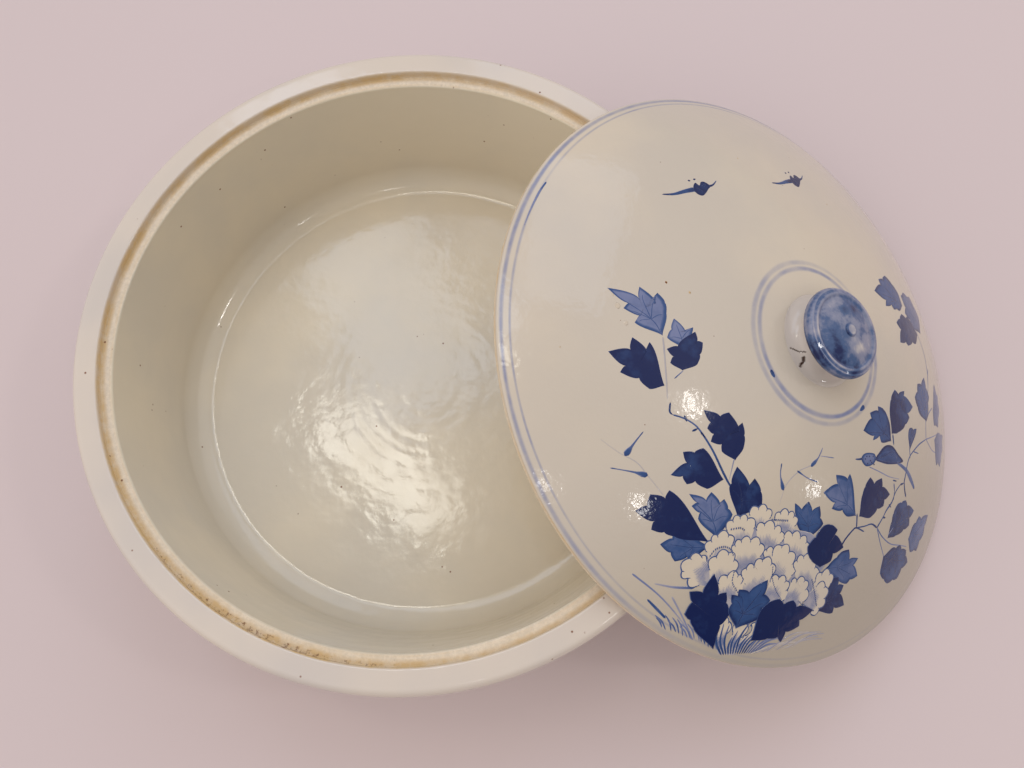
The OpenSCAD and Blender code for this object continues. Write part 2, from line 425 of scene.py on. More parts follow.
def glaze_skin(tree, shader, place, bare=None, dimple_height=DIMPLE_HEIGHT):
    """Bump of the glaze: slow swells that bend its highlights, fine dimples that break them up,
    and a gritty face and a dull finish where the clay is bare."""
    swells = product_of(tree, noise(tree, place, "swells", 2.0), SWELL_HEIGHT)
    dimples = product_of(tree, noise(tree, place, "peel", 2.0), dimple_height)
    height = sum_of(tree, swells, dimples)
    gloss = ranged(tree, noise(tree, place, "sheen"), 0.3, 0.7, *GLAZE_SHEEN)
    if bare is not None:
        grit = product_of(tree, noise(tree, place, "grit", 4.0, 0.7),
                          product_of(tree, bare, GRIT_HEIGHT))
        height = sum_of(tree, height, grit)
        gloss = sum_of(tree, gloss, product_of(tree, bare, CLAY_DULLNESS))
    bump = add(tree, "ShaderNodeBump", {"Strength": 1.0, "Distance": BUMP_DEPTH, "Height": height})
    tree.links.new(bump.outputs["Normal"], shader.inputs["Normal"])
    tree.links.new(gloss, shader.inputs["Roughness"])


def clay_and_stain(tree, place, glaze, bare, stain):
    """The glaze's colour, turned into bare clay where the mesh says so. A stain on it is golden
    where it is thin, and iron brown in grains where its strength passes one."""
    colours = bpy.context.scene.glaze_colours
    sand = noise(tree, place, "sand", 5.0, 0.65)
    dark_clay = linear(np.array(colours.bare_clay) * 0.93)
    clay = mixed(tree, ranged(tree, sand, 0.35, 0.7), dark_clay, linear(colours.bare_clay))
    patches = ranged(tree, noise(tree, place, "patches", 5.0, 0.7), 0.38, 0.62, 0.5, 1.2)
    golden = mixed(tree, product_of(tree, stain, patches), mixed(tree, bare, glaze, clay),
                   linear(colours.ochre_stain))
    grains = product_of(tree, stain, ranged(tree, sand, 0.35, 0.7, 0.75, 1.25))
    return mixed(tree, ranged(tree, grains, 1.0, 1.5), golden, linear(colours.iron_stain))


def tinted_glaze(tree, place, tint):
    """The tint with slow clouds: a little cooler and darker in places, and warmer in others."""
    cool, warm = (linear(np.clip(np.array(tint) * change, 0, 1))
                  for change in ((0.97, 0.975, 0.985), (1.02, 1.015, 1.0)))
    return mixed(tree, ranged(tree, noise(tree, place, "clouds", 4.0), 0.35, 0.65), cool, warm)


def specked(tree, place, glaze, size, plenty=0.0):
    """Fine iron specks: rare grains where a coarse cell's heart is met, and more of them where
    plenty is higher."""
    sockets = {"Vector": place, "Scale": SPECK_CELLS, "Randomness": 1.0}
    distance = add(tree, "ShaderNodeTexVoronoi", sockets).outputs["Distance"]
    heart = ranged(tree, distance, 0.022 * size, 0.06 * size, 1.0, 0.0)
    rare = ranged(tree, sum_of(tree, noise(tree, place, "spread", 0.0), plenty), 0.59, 0.65)
    return mixed(tree, product_of(tree, heart, rare), glaze, linear(SPECK_COLOUR))


def bowl_material():
    """Glossy grey cream glaze, whiter and more specked on the rim, with the bare and stained
    lid seat."""
    colours = bpy.context.scene.glaze_colours
    material, tree, shader, place = new_material("bowl_skin")
    bare = attribute(tree, "bare")
    inner = tinted_glaze(tree, place, colours.bowl_glaze)
    outer = tinted_glaze(tree, place, colours.rim_glaze)
    glaze = mixed(tree, attribute(tree, "white"), inner, outer)
    seat = clay_and_stain(tree, place, glaze, bare, attribute(tree, "stain"))
    plenty = product_of(tree, attribute(tree, "rim"), 0.13)
    tree.links.new(specked(tree, place, seat, 1.5, plenty), shader.inputs["Base Color"])
    glaze_skin(tree, shader, place, bare, INNER_DIMPLE_HEIGHT)
    return material


def painted_colour(tree, place, glaze, wash, mottle, thin, half):
    """The glaze over a cobalt wash: wash 0 is bare glaze, and 1 is the deepest blue; thin and
    half are its colours between. Noise thins and thickens it as a loaded brush does."""
    pools = ranged(tree, noise(tree, place, "pools", 3.0, 0.6), 0.3, 0.7, 1 - mottle, 1 + mottle)
    depth = product_of(tree, wash, pools)
    painted = glaze
    deep = bpy.context.scene.glaze_colours.deep_wash
    for start, full, tone in ((0.0, 0.3, thin), (0.25, 0.58, half), (0.55, 0.96, deep)):
        painted = mixed(tree, ranged(tree, depth, start, full), painted, linear(tone))
    return painted


def lid_material():
    """Glossy cream glaze over the painting, darkened by painted shade towards the low near side,
    with the bare tread and its stained edge. Its index of refraction is low, so that the blues stay
    deep."""
    colours = bpy.context.scene.glaze_colours
    material, tree, shader, place = new_material("painted_glaze")
    shader.inputs["IOR"].default_value = 1.42
    bare = attribute(tree, "bare")
    glaze = specked(tree, place, tinted_glaze(tree, place, colours.lid_glaze), 0.7)
    # Painted shade: the lid's glaze at 0.86 of its colour, mixed in where the mesh's shade mask
    # says so
    painted_shade = linear(np.array(colours.lid_glaze) * 0.86)
    glaze = mixed(tree, attribute(tree, "painted_shade"), glaze, painted_shade)
    painted = painted_colour(tree, place, glaze, attribute(tree, "wash"), 0.12,
                             colours.pale_wash, colours.mid_wash)
    stained = clay_and_stain(tree, place, painted, bare, attribute(tree, "stain"))
    tree.links.new(stained, shader.inputs["Base Color"])
    glaze_skin(tree, shader, place, bare)
    return material


def glaze_of_lid():
    """The lid's material, made on first use and shared by the lid and its painting."""
    return bpy.data.materials.get("painted_glaze") or lid_material()


class Paint:
    """Collects thin closed shells of paint that lie on the lid's dome, from shapes drawn on the
    lid's own plane in millimetres. Each shell is a little prouder than the one before it, and
    all are closed below the glaze."""
    first_rise = 0.02 * MM
    rise_step = 0.0006 * MM
    sunk = 0.1 * MM
    # A patch's outermost rings, as shares of the way from its heart to its outline
    even_rings, rim_rings = 0.9, (0.945, 0.975, 1.0)
    # Points of a stroke's section, as shares of its half width: five on top and two below
    section = np.array([1, 0.55, 0, -0.55, -1, -1, 1])
    on_top = 5

    def __init__(self):
        self.points, self.washes, self.count, self.rise = [], [], 0, self.first_rise
        self.smooth_faces, self.flat_faces = {3: [], 4: []}, {3: [], 4: []}

    def keep(self, xy, high, wash, smooth, flat):
        """Stores one shell: its points, which of them lie on top, how dark the paint is at each,
        and its smooth and its flat faces."""
        self.rise += self.rise_step
        r = np.hypot(*xy.T) * MM
        z = crown_z(r) + np.where(high, self.rise, -self.sunk)
        self.points.append(np.column_stack([xy * MM, z]))
        self.washes.append(wash)
        for store, faces in ((self.smooth_faces, smooth), (self.flat_faces, flat)):
            for f in faces:
                store[f.shape[1]].append(f + self.count)
        self.count += len(xy)

    def patch(self, outline, heart, wash, edge=0.0, step=1.5):
        """A filled shape. Ring s holds the points heart + s (outline - heart), and the last ring
        is repeated below the glaze. wash is a number or a function of the points. edge is added
        to it near the rim, where a wash dries darker, and the very rim fades into the glaze."""
        spokes = outline - heart
        count = math.ceil(np.hypot(*spokes.T).max() / step)
        rings = np.append(np.linspace(0, self.even_rings, count + 1)[1:], self.rim_rings)
        after = np.roll(spokes, -1, 0)
        if (spokes[:, 0] * after[:, 1] - spokes[:, 1] * after[:, 0]).sum() < 0:
            spokes = spokes[::-1]
        n = len(spokes)
        top = (heart + rings[:, None, None] * spokes).reshape(-1, 2)
        xy = np.vstack([[heart], top, heart + spokes, [heart]])
        level = np.concatenate([[0], np.repeat(rings, n), np.ones(n), [0]])
        high = np.arange(len(xy)) <= len(top)
        tone = wash(xy) if callable(wash) else np.full(len(xy), wash)
        tone = (tone + edge * smooth_step(0.8, 0.96, level)) * (1 - 0.6 * (level == 1))
        place = 1 + np.arange((len(rings) + 1) * n).reshape(-1, n)
        beside = np.roll(place, -1, 1)
        grid = np.stack([place[:-1], place[1:], beside[1:], beside[:-1]], -1)
        fan = np.stack([np.zeros(n, int), place[0], beside[0]], -1)
        base = np.stack([np.full(n, len(xy) - 1), beside[-1], place[-1]], -1)
        self.keep(xy, high, tone, [fan, grid[:-1].reshape(-1, 4)], [base, grid[-1]])

    def stroke(self, path, widths, washes, step=0.7, closed=False):
        """A brush stroke along a smooth curve through the path's points, as wide and as dark as
        the values given along it. Its section is a flat ring of points, and each of its two ends
        is rounded: half a width from the end, the half width starts to follow a quarter circle."""
        line = smooth_curve(path, step, closed)
        n = len(line)
        share = np.linspace(0, 1, n)
        half = np.interp(share, np.linspace(0, 1, len(widths)), widths) / 2
        tone = np.interp(share, np.linspace(0, 1, len(washes)), washes)
        if closed:
            along = np.roll(line, -1, 0) - np.roll(line, 1, 0)
        else:
            along = np.gradient(line, axis=0)
            inner = np.minimum(share, 1 - share) * (n - 1) * step / half
            half = half * np.sqrt(np.clip(1 - np.clip(1 - inner, 0, 1) ** 2, 0.06, 1))
        across = np.stack([-along[:, 1], along[:, 0]], -1) * (half / np.hypot(*along.T))[:, None]
        edge = 1 - 0.5 * (np.abs(self.section) == 1)
        k = len(self.section)
        xy = (line[:, None] + self.section[:, None] * across[:, None]).reshape(-1, 2)
        high = np.tile(np.arange(k) < self.on_top, n)
        rows, turn = np.arange(n if closed else n - 1)[:, None] * k, np.arange(k)
        rows_on, turn_on = (rows + k) % (n * k), (turn + 1) % k
        body = np.stack([rows + turn, rows + turn_on, rows_on + turn_on, rows_on + turn], -1)
        top = self.on_top - 1
        flat = [body[:, top:].reshape(-1, 4)]
        if not closed:
            j = np.arange(1, k - 1)
            flat += [np.stack([0 * j, j + 1, j], -1), (n - 1) * k + np.stack([0 * j, j, j + 1], -1)]
        self.keep(xy, high, np.outer(tone, edge).ravel(), [body[:, :top].reshape(-1, 4)], flat)

    def strokes(self, table, placed=list):
        """Every stroke of a table: its widths, its tones and the points that it passes, put in
        their place."""
        for widths, tones, *path in table:
            self.stroke(placed(path), widths, tones)

    def finish(self, name, stain=False):
        """Makes the collected shells one piece that rides on the lid. Their tones are those of a
        blue wash, or of a golden and iron brown stain."""
        faces, flags = [], []
        for store, smooth in ((self.smooth_faces, True), (self.flat_faces, False)):
            for sized in filter(None, store.values()):
                faces.append(np.vstack(sized))
                flags.append(smooth)
        tones, none = np.concatenate(self.washes), np.zeros(self.count)
        # The shells carry none of the lid's painted shade
        piece = add_mesh(name, leaning(np.vstack(self.points)), faces, glaze_of_lid(), flags,
                         {"wash": none if stain else tones, "painted_shade": none, "bare": none,
                          "stain": tones if stain else none})
        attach(piece, "lid")


def smooth_curve(points, step, closed=False):
    """Points about a step apart on a Catmull-Rom curve through the given points: between two of
    them it is the cubic whose end slopes are half the chord of their neighbours."""
    points = np.asarray(points, float)
    if closed:
        p = np.vstack([points[-1], points, points[:2]])
    else:
        p = np.vstack([2 * points[0] - points[1], points, 2 * points[-1] - points[-2]])
    pieces = []
    for a, b, c, d in zip(p, p[1:], p[2:], p[3:]):
        t = np.linspace(0, 1, int(np.ceil(np.linalg.norm(c - b) / step)) + 1)[:-1, None]
        pieces.append(b + (c - a) * t / 2 + (2 * a - 5 * b + 4 * c - d) * t ** 2 / 2
                      + (3 * b - a - 3 * c + d) * t ** 3 / 2)
    return np.vstack(pieces if closed else pieces + [points[-1]])


def lobed_outline(corners, steps=12):
    """Outline of a lobed leaf. Its corners are its stem end and then, in order round it, the
    tips of its lobes with the dips between them. Each side of a lobe is a cubic Bezier curve that
    swells beside the dip and runs straight into the tip. Gives the outline and the heart."""
    corners = np.array(corners, float)
    heart = 0.2 * corners[0] + 0.8 * corners[1::2].mean(0)
    side = np.roll(corners, -1, 0) - corners
    out = np.stack([side[:, 1], -side[:, 0]], -1)
    out *= np.sign((corners[:, 0] * side[:, 1] - corners[:, 1] * side[:, 0]).sum())
    # Each side's way out of its first corner and into its second: along it and away from it
    from_dip, from_tip = (0.2, 0.16, 0.66, 0.07), (0.34, 0.07, 0.8, 0.16)
    ways = np.array([from_dip, from_tip] * (len(corners) // 2))
    ways[0], ways[-1] = (0.3, -0.03, 0.72, 0.11), (0.28, 0.11, 0.7, -0.03)
    first = corners + ways[:, :1] * side + ways[:, 1:2] * out
    second = corners + ways[:, 2:3] * side + ways[:, 3:] * out
    t = np.linspace(0, 1, steps + 1)[:-1, None, None]
    curve = ((1 - t) ** 3 * corners + 3 * t * (1 - t) ** 2 * first + 3 * t ** 2 * (1 - t) * second
             + t ** 3 * (corners + side))
    return curve.transpose(1, 0, 2).reshape(-1, 2), heart


# A wash as dark as this hides the veins, and veins are this much darker than their leaf
HIDES_VEINS, VEIN_DEPTH = 0.97, 0.18
# Widths in millimetres of a leaf's middle vein and of its side veins, from the stem outwards
MIDDLE_VEIN, SIDE_VEIN = (0.55, 0.4, 0.25), (0.4, 0.22)


def paint_leaf(paint, tone_at_stem, tone_at_tip, *corners):
    """A lobed leaf: a wash that changes from its stem to its far tip, a darker rim, and veins
    on a wash that is thin enough to show them."""
    outline, heart = lobed_outline(corners)
    base, tips = np.array(corners[0], float), np.array(corners[1::2], float)
    far = tips[np.argmax(np.hypot(*(tips - base).T))] - base
    reach = far @ far

    def wash(xy):
        share = smooth_step(0.1, 0.9, (xy - base) @ far / reach)
        return tone_at_stem + (tone_at_tip - tone_at_stem) * share

    tone = max(tone_at_stem, tone_at_tip)
    paint.patch(outline, heart, wash, edge=0.28 - 0.2 * smooth_step(0.5, 0.85, tone))
    if tone < HIDES_VEINS:
        vein = [tone + VEIN_DEPTH]
        fork = base + 0.6 * (heart - base)
        paint.stroke([base, fork, base + 0.8 * far], MIDDLE_VEIN, vein)
        for tip in tips:
            if np.hypot(*(tip - base - far)) > 1:
                bend = (fork + tip) / 2 + 0.08 * (far / math.sqrt(reach)) * np.hypot(*(tip - fork))
                paint.stroke([fork, bend, fork + 0.75 * (tip - fork)], SIDE_VEIN, vein)


# How far a petal's scallops swell out, as a share of their width, how dark its wash is, and the
# shares of the way from its root to its edge between which the wash thins out to nothing
SCALLOP, PETAL_WASH, CLEAN_FROM, CLEAN_AT = 0.36, 0.17, 0.62, 0.84
# The fine lines on a petal run from one share of that way to another, give or take a little
HATCH_START, HATCH_END, HATCH_SPREAD = 0.56, 0.76, 0.03
# Where a petal's sides have points, as shares of the way from its edge to its root
SIDE_SHARES = (0.12, 0.24, 0.36, 0.46)


def paint_petal(paint, base, *cusps):
    """A petal of the bloom: low round scallops between its cusps. It is clean glaze along the
    scallops and turns to a thin wash towards its base, under fine lines that fan out from a
    root beyond the base. It has a brushed outline, and a short tick inwards from each cusp."""
    base, cusps = np.array(base, float), np.array(cusps, float)
    t = np.linspace(0, 1, 8)[:-1, None]
    arcs = []
    for a, b in zip(cusps, cusps[1:]):
        out = np.array([b[1] - a[1], a[0] - b[0]])
        out *= np.sign(((a + b) / 2 - base) @ out)
        arcs.append(a + (b - a) * t + out * SCALLOP * np.sin(np.pi * t) ** 0.8)
    edge = np.vstack(arcs + [cusps[-1]])
    root = base + 1.1 * (base - cusps.mean(0))
    heading = math.atan2(*(cusps.mean(0) - root)[::-1])

    def seen(xy):
        """Turn from the petal's heading, and distance from its root."""
        way = xy - root
        turn = np.arctan2(way[:, 1], way[:, 0]) - heading
        return (turn + np.pi) % (2 * np.pi) - np.pi, np.hypot(*way.T)

    turns, radii = seen(edge)
    order = np.argsort(turns)

    def wash(xy):
        turn, far = seen(xy)
        share = far / np.interp(turn, turns[order], radii[order])
        return PETAL_WASH * (1 - smooth_step(CLEAN_FROM, CLEAN_AT, share))

    sides = [edge[-1] + share * (root - edge[-1]) for share in SIDE_SHARES]
    sides += [edge[0] + share * (root - edge[0]) for share in SIDE_SHARES[::-1]]
    outline = np.vstack([edge, sides])
    paint.patch(outline, outline.mean(0), wash)
    for turn in np.linspace(turns[0], turns[-1], 4 * len(cusps) - 1)[1:-1]:
        far = np.interp(turn, turns[order], radii[order])
        way = np.array([math.cos(heading + turn), math.sin(heading + turn)])
        end = HATCH_END + HATCH_SPREAD * math.sin(211 * turn)
        paint.stroke([root + HATCH_START * far * way, root + end * far * way], (0.22, 0.14),
                     (0.42, 0.3), 1.2)
    widths = [0.46, 0.3] * (len(cusps) - 1) + [0.46]
    paint.stroke(edge, widths, (0.64, 0.5, 0.62), 0.5)
    for cusp in cusps:
        inward = (base - cusp) / np.hypot(*(base - cusp))
        paint.stroke([cusp - 0.1 * inward, cusp + 1.0 * inward], (0.55, 0.2), (0.7, 0.45))


# Places of the painting, in millimetres on the lid's own plane: x runs down the slope of the
# leaning lid and y across it. A leaf is its tone at the stem and at the tip, its stem end, and
# then the tips of its lobes in order round it, with the dips between them.
LEAVES_BEHIND = (
    (0.44, 0.36, (-39, -72), (-47, -66), (-46.6, -64), (-50, -62), (-48, -60.8), (-51.5, -58.2),
     (-45.2, -60), (-43.8, -57.2), (-40, -61), (-38.8, -59.2), (-36.8, -62.3), (-34.8, -64)),
    (0.56, 0.5, (-41, -74.5), (-47, -79), (-48.2, -78.2), (-52, -79.8), (-54, -77), (-58.2, -74.5),
     (-54.5, -72.5), (-54, -70)),
    (0.9, 0.84, (-32.7, -65), (-37.6, -55.2), (-36.9, -54), (-35.6, -48.4), (-29.8, -55.2),
     (-28.3, -51.8), (-25.2, -56), (-24, -60.2)),
    (0.6, 0.54, (-2, -71), (-8, -65.5), (-8.6, -63.4), (-10.2, -58.8), (-6.8, -61), (-4, -57.8),
     (-1.8, -61), (1.5, -59), (2.6, -63), (4.6, -64.8)),
    (0.54, 0.48, (9.5, -80.5), (15, -75.8), (16, -74.6), (21, -72.7), (22.3, -76.2), (27.6, -75.4),
     (25.4, -78), (29.8, -81.6), (25.6, -83), (24.2, -84.7)),
    (0.94, 0.84, (12, -94.6), (12, -85.4), (14.4, -83.8), (18.6, -82.4), (19.4, -85.2),
     (22.8, -85.2), (21.8, -88.2), (26.4, -92.2), (20.6, -93), (20.8, -95.1)),
)
LEAVES = (
    (0.36, 0.32, (-64.1, -6.4), (-73.2, -2.5), (-70.9, 0.2), (-76.7, 2.4), (-74.8, 4.4),
     (-81.6, 9.6), (-71.4, 6.2), (-71.2, 10.7), (-65.9, 5), (-65.3, 8.9), (-62.9, 5.4),
     (-62.6, 1.6)),
    (0.36, 0.3, (-56.6, -10.5), (-62.6, -7), (-61, -4), (-60.1, 0), (-56.3, -4.4), (-53.5, -2.6)),
    (1.00, 0.86, (-57.3, -18), (-61.5, -15.7), (-60.4, -13.4), (-62.7, -11), (-59, -9.8),
     (-52.8, -4.1), (-52.2, -7.4), (-50.2, -7.7), (-51.3, -12), (-52.2, -15.5)),
    (1.00, 0.9, (-63.2, -23.6), (-68, -25), (-71.5, -21.5), (-77.6, -19.9), (-76, -17.6),
     (-81.5, -13), (-74.5, -12), (-74, -7.7), (-69.3, -12.3), (-68.4, -9)),
    (1.00, 0.92, (-36.6, -46.5), (-41.9, -43.8), (-42, -41.5), (-46.1, -41), (-45.2, -38.4),
     (-47.8, -36.7), (-46.6, -34.6), (-49.4, -30.8), (-43.4, -32.4), (-40.3, -30.8), (-36, -36.8),
     (-35, -33.8), (-34, -38), (-33.8, -42)),
    (1.00, 0.82, (-40, -53), (-45.5, -56.3), (-50, -54), (-52.7, -55.2), (-54.5, -52.6),
     (-58.6, -52.5), (-53.6, -48.3), (-55.4, -44.9), (-51.5, -44.9), (-48.6, -43.2)),
    (1.00, 0.94, (-41.5, -73.3), (-54, -71.9), (-57.6, -70.6), (-62, -70), (-61.6, -67.3),
     (-68.2, -64.3), (-64.5, -62.5), (-64.3, -58.9), (-59.2, -60), (-58.3, -57.3)),
    (0.46, 0.42, (21.5, -60.9), (16, -61.4), (13.4, -59.4), (7.7, -59.5), (9.2, -57.2),
     (2.4, -54.3), (9.3, -50.8), (7.8, -47.7), (14.2, -48.6), (15.2, -46.6)),
    (1.00, 0.9, (23.4, -61), (23.7, -53), (24.8, -50.4), (27.4, -46.6), (30.2, -48.8), (35, -46.1),
     (35.8, -49.2), (41.8, -51.3), (38.2, -53.6), (38.2, -55.9), (34.2, -57.2), (30.5, -60.8)),
    (0.66, 0.56, (40, -31.8), (33, -33.2), (31.8, -30.6), (27.5, -33.2), (28.5, -31.2),
     (21.4, -30.4), (26.5, -25.2), (25.3, -23.3), (31, -21.8), (30.5, -20), (34.6, -20.8),
     (38.3, -24.6)),
    (1.00, 0.7, (40.2, -29), (38.9, -19), (40.1, -15.8), (43.2, -11.4), (46, -12.8), (51.2, -10.4),
     (50.2, -12.6), (58.3, -15.4), (52.8, -18.8), (54.8, -20.3), (51, -23.6), (45, -27.8)),
    (0.74, 0.66, (55.2, -33.3), (53.7, -26.8), (54.4, -25), (56.4, -24), (58.5, -24.6),
     (61.6, -23.6)),
    (0.84, 0.74, (45, -67.2), (46, -61), (46.6, -57.8), (48.8, -54.2), (52, -53.4), (55.4, -52.1),
     (57.2, -54), (64.3, -55.1), (60.6, -58.2), (61.6, -61), (57, -62.9), (51, -65.8)),
    (0.54, 0.46, (63.2, -66), (66, -60.4), (68.6, -59.4), (71, -56.6), (74, -57.4), (82.2, -54.9),
     (79.6, -59.6), (80, -63), (76.4, -65.6), (75, -69.8), (72, -69.4), (68, -70.8)),
    (0.76, 0.7, (44.6, -73.9), (51.5, -70), (53.5, -70.4), (56.6, -68.7), (58.6, -70.4),
     (63.4, -70.3), (64, -72.4), (67.7, -74.6), (62.8, -77.2), (61.2, -81.2), (57, -81.8),
     (53.2, -83.5), (49.5, -82), (45.2, -80.2)),
    (0.62, 0.56, (73, -18.6), (65, -16.8), (63.6, -14.6), (61, -11), (64.4, -8), (65, -4.6),
     (69.6, -4), (74, 0.2), (75, -4), (78.4, -7), (76.2, -10), (76, -14)),
    (0.52, 0.46, (83, -12), (84, -18), (87, -17), (91, -17.4), (92, -13), (96, -9), (94, -6),
     (95, -2.6), (92, -3), (90, 1.2)),
    (0.52, 0.46, (84, -24), (88, -34), (91, -32), (95, -33.4), (97, -28), (101, -25), (99, -22),
     (102, -18.6), (96, -20), (91, -19.6)),
    (0.6, 0.5, (63.5, 29.5), (58.6, 25.6), (56, 26), (53, 24.6), (51.5, 26.6), (45.8, 24.2),
     (47.8, 27.5), (38.8, 29), (46, 33.8), (45.2, 36.1), (49.4, 37.4), (53, 40.4), (58, 38),
     (62.2, 35.4)),
    (0.58, 0.54, (81, 22), (71.4, 21.8), (69.6, 25), (64.8, 26.4), (67.8, 29.8), (65.6, 35),
     (68, 36), (70.5, 38.2), (75, 37.2), (79, 39), (82, 35.5), (86.2, 32)),
    (0.88, 0.8, (75.2, 19.6), (69.6, 13.8), (66, 14), (60.4, 10.6), (58.5, 12), (52.8, 10.1),
     (56, 16.5), (52.6, 18.7), (57, 21.4), (60, 24.6), (64, 23.6), (66.2, 25.4)),
)
LEAVES_IN_FRONT = (
    (1.00, 0.96, (-29.2, -108), (-39.5, -100.8), (-41.3, -98.4), (-44, -96.6), (-42.4, -92.6),
     (-44.4, -89.3), (-39.6, -89.6), (-37.3, -83.3), (-33.9, -90.2), (-31, -89.2), (-30, -92.6),
     (-27.4, -96.5), (-29.8, -100), (-29.8, -104)),
    (0.66, 0.58, (-23, -101), (-28.4, -95), (-27.6, -92.8), (-28.8, -90), (-25.9, -90.5),
     (-26.4, -88.1), (-22, -89), (-15.6, -84.6), (-15.6, -89.5), (-12.2, -91.4), (-14.8, -94),
     (-14.4, -97.2)),
    (1.00, 0.96, (-15.3, -105.2), (-15, -94.6), (-13, -92.6), (-8.5, -90.8), (-5.8, -92.8),
     (-1.8, -91.1), (0.6, -93.4), (9.4, -94.2), (3.8, -97.8), (4.8, -99.9), (-1, -101.8),
     (-1.5, -105.5), (-3.6, -103.6), (-8.4, -104.3)),
    (1.00, 0.96, (7, -79.6), (2, -77.4), (0.4, -76), (-1.2, -73), (2, -69.6), (5, -65.4), (8, -65),
     (12.2, -66.4), (11, -68.2), (17.2, -72.2), (12, -74.5), (12, -77)),
)
# A stem is its widths, its tones and the points that it passes
STEMS = (
    ((0.61, 0.54), (0.16, 0.12), (-64, -7), (-63, -18), (-62, -28)),
    ((0.61, 0.68, 0.48), (0.8, 0.9), (-61, -29), (-61, -32), (-60, -33)),
    ((0.54, 0.54, 0.68, 0.75, 0.82, 0.61), (0.7, 0.5, 0.6, 0.75, 0.8), (-60, -33), (-56, -34),
     (-52, -36), (-49, -39), (-45, -44), (-41, -50), (-38, -54), (-36, -56)),
    ((1.02, 0.48), (0.9,), (-56, -33), (-55, -35)),
    ((0.61, 0.82, 0.34), (0.85,), (-53, -38), (-51, -37)),
    ((0.88, 0.41), (0.9,), (-50, -38), (-48, -40)),
    ((0.34, 0.41), (0.2, 0.6), (-57, -18), (-60, -21)),
    ((0.48, 0.34), (0.3, 0.15), (-37, -46), (-38, -53)),
    ((0.82, 0.61), (0.9, 0.7), (9, -77), (7, -81)),
    ((0.82, 0.54), (0.9, 0.7), (16, -72), (18, -69), (21, -66), (23, -65), (28, -66)),
    ((0.75, 0.75), (0.75, 0.8), (22, -60), (23, -65)),
    ((0.54, 0.48, 0.88), (0.75, 0.7, 0.9), (23, -65), (28, -64), (32, -63), (36, -64)),
    ((0.82, 0.48, 0.88, 0.54, 0.48), (0.85, 0.6, 0.8, 0.55), (36, -64), (39, -60), (41, -57),
     (44, -54), (46, -50), (49, -47)),
    ((1.09, 0.41), (0.85,), (39, -60), (41, -60)),
    ((0.95, 0.41), (0.85,), (42, -55), (44, -56)),
    ((0.61, 0.41, 0.82), (0.7,), (45, -53), (45, -50), (44, -47)),
    ((0.68, 0.41), (0.8,), (43, -46), (46, -46)),
    ((0.95, 0.48), (0.85, 0.7), (49, -47), (52, -46)),
    ((0.68, 0.88, 1.02), (0.7, 0.85), (52, -45), (53, -48), (55, -51)),
    ((0.82, 0.61, 0.54, 0.68, 0.48), (0.7, 0.6, 0.55, 0.5), (52, -46), (53, -42), (54, -38),
     (56, -35), (60, -32), (65, -29), (72, -26)),
    ((0.54, 0.41), (0.5,), (59, -33), (64, -33)),
    ((0.54, 0.61), (0.5, 0.55), (55, -32), (56, -36)),
    ((0.68, 0.54), (0.4, 0.3), (72, -26), (72, -18)),
    ((0.54, 0.41), (0.4, 0.25), (72, -26), (82, -23), (88, -21)),
    ((0.54, 0.41), (0.4, 0.25), (72, -26), (80, -29), (87, -29)),
    ((0.68, 0.48), (0.45, 0.3), (73, -18), (77, -14), (82, -11)),
    ((0.54, 0.54, 0.75), (0.3, 0.35, 0.5), (74, -14), (78, -4), (80, 2), (82, 6)),
    ((0.61, 0.48), (0.35, 0.2), (80, 3), (80, 11), (76, 19), (66, 29)),
    ((0.54, 0.41), (0.5, 0.25), (36, -64), (41, -67), (48, -69), (56, -69), (63, -69)),
    ((0.54, 0.41), (0.5, 0.35), (36, -64), (40, -69), (45, -74)),
    ((0.48, 0.34), (0.4, 0.3), (45, -66), (48, -63)),
    ((0.95, 0.75), (0.8,), (41, -29), (42, -33)),
)
# Faint tendrils, and the small buds on them, which swell at one end
TENDRILS = (
    ((0.35, 0.4), (0.08, 0.12, 0.1), (-82, -42), (-76, -46), (-70, -49), (-66, -53), (-60, -59)),
    ((0.4, 0.4), (0.1, 0.16, 0.14), (-17, -60), (-15, -53), (-10, -48), (-4, -45), (0, -40)),
    ((0.45, 0.4, 0.5, 0.6, 0.9, 2.1, 1.9), (0.75, 0.5, 0.45, 0.5, 0.7), (-69, -39), (-71, -42),
     (-74, -47)),
    ((0.5, 0.35, 0.4, 0.5, 0.7, 1.8, 1.7), (0.6, 0.35, 0.4, 0.45, 0.7), (-78, -51), (-71, -52),
     (-66, -53)),
    ((0.7, 0.4, 0.45, 0.5, 0.9, 1.7, 1.3), (0.75, 0.4, 0.45, 0.65), (-18, -46), (-18, -50),
     (-16, -55)),
    ((0.4, 0.45, 0.6, 1.6, 1.2), (0.35, 0.45, 0.6), (0, -39), (-2, -43), (-5, -46)),
    ((0.8, 0.4, 0.45, 0.5), (0.7, 0.35, 0.4, 0.6), (-11, -48), (-6, -50), (-1, -51)),
    ((0.3, 0.4), (0.2, 0.35), (-1, -42), (6, -42)),
)
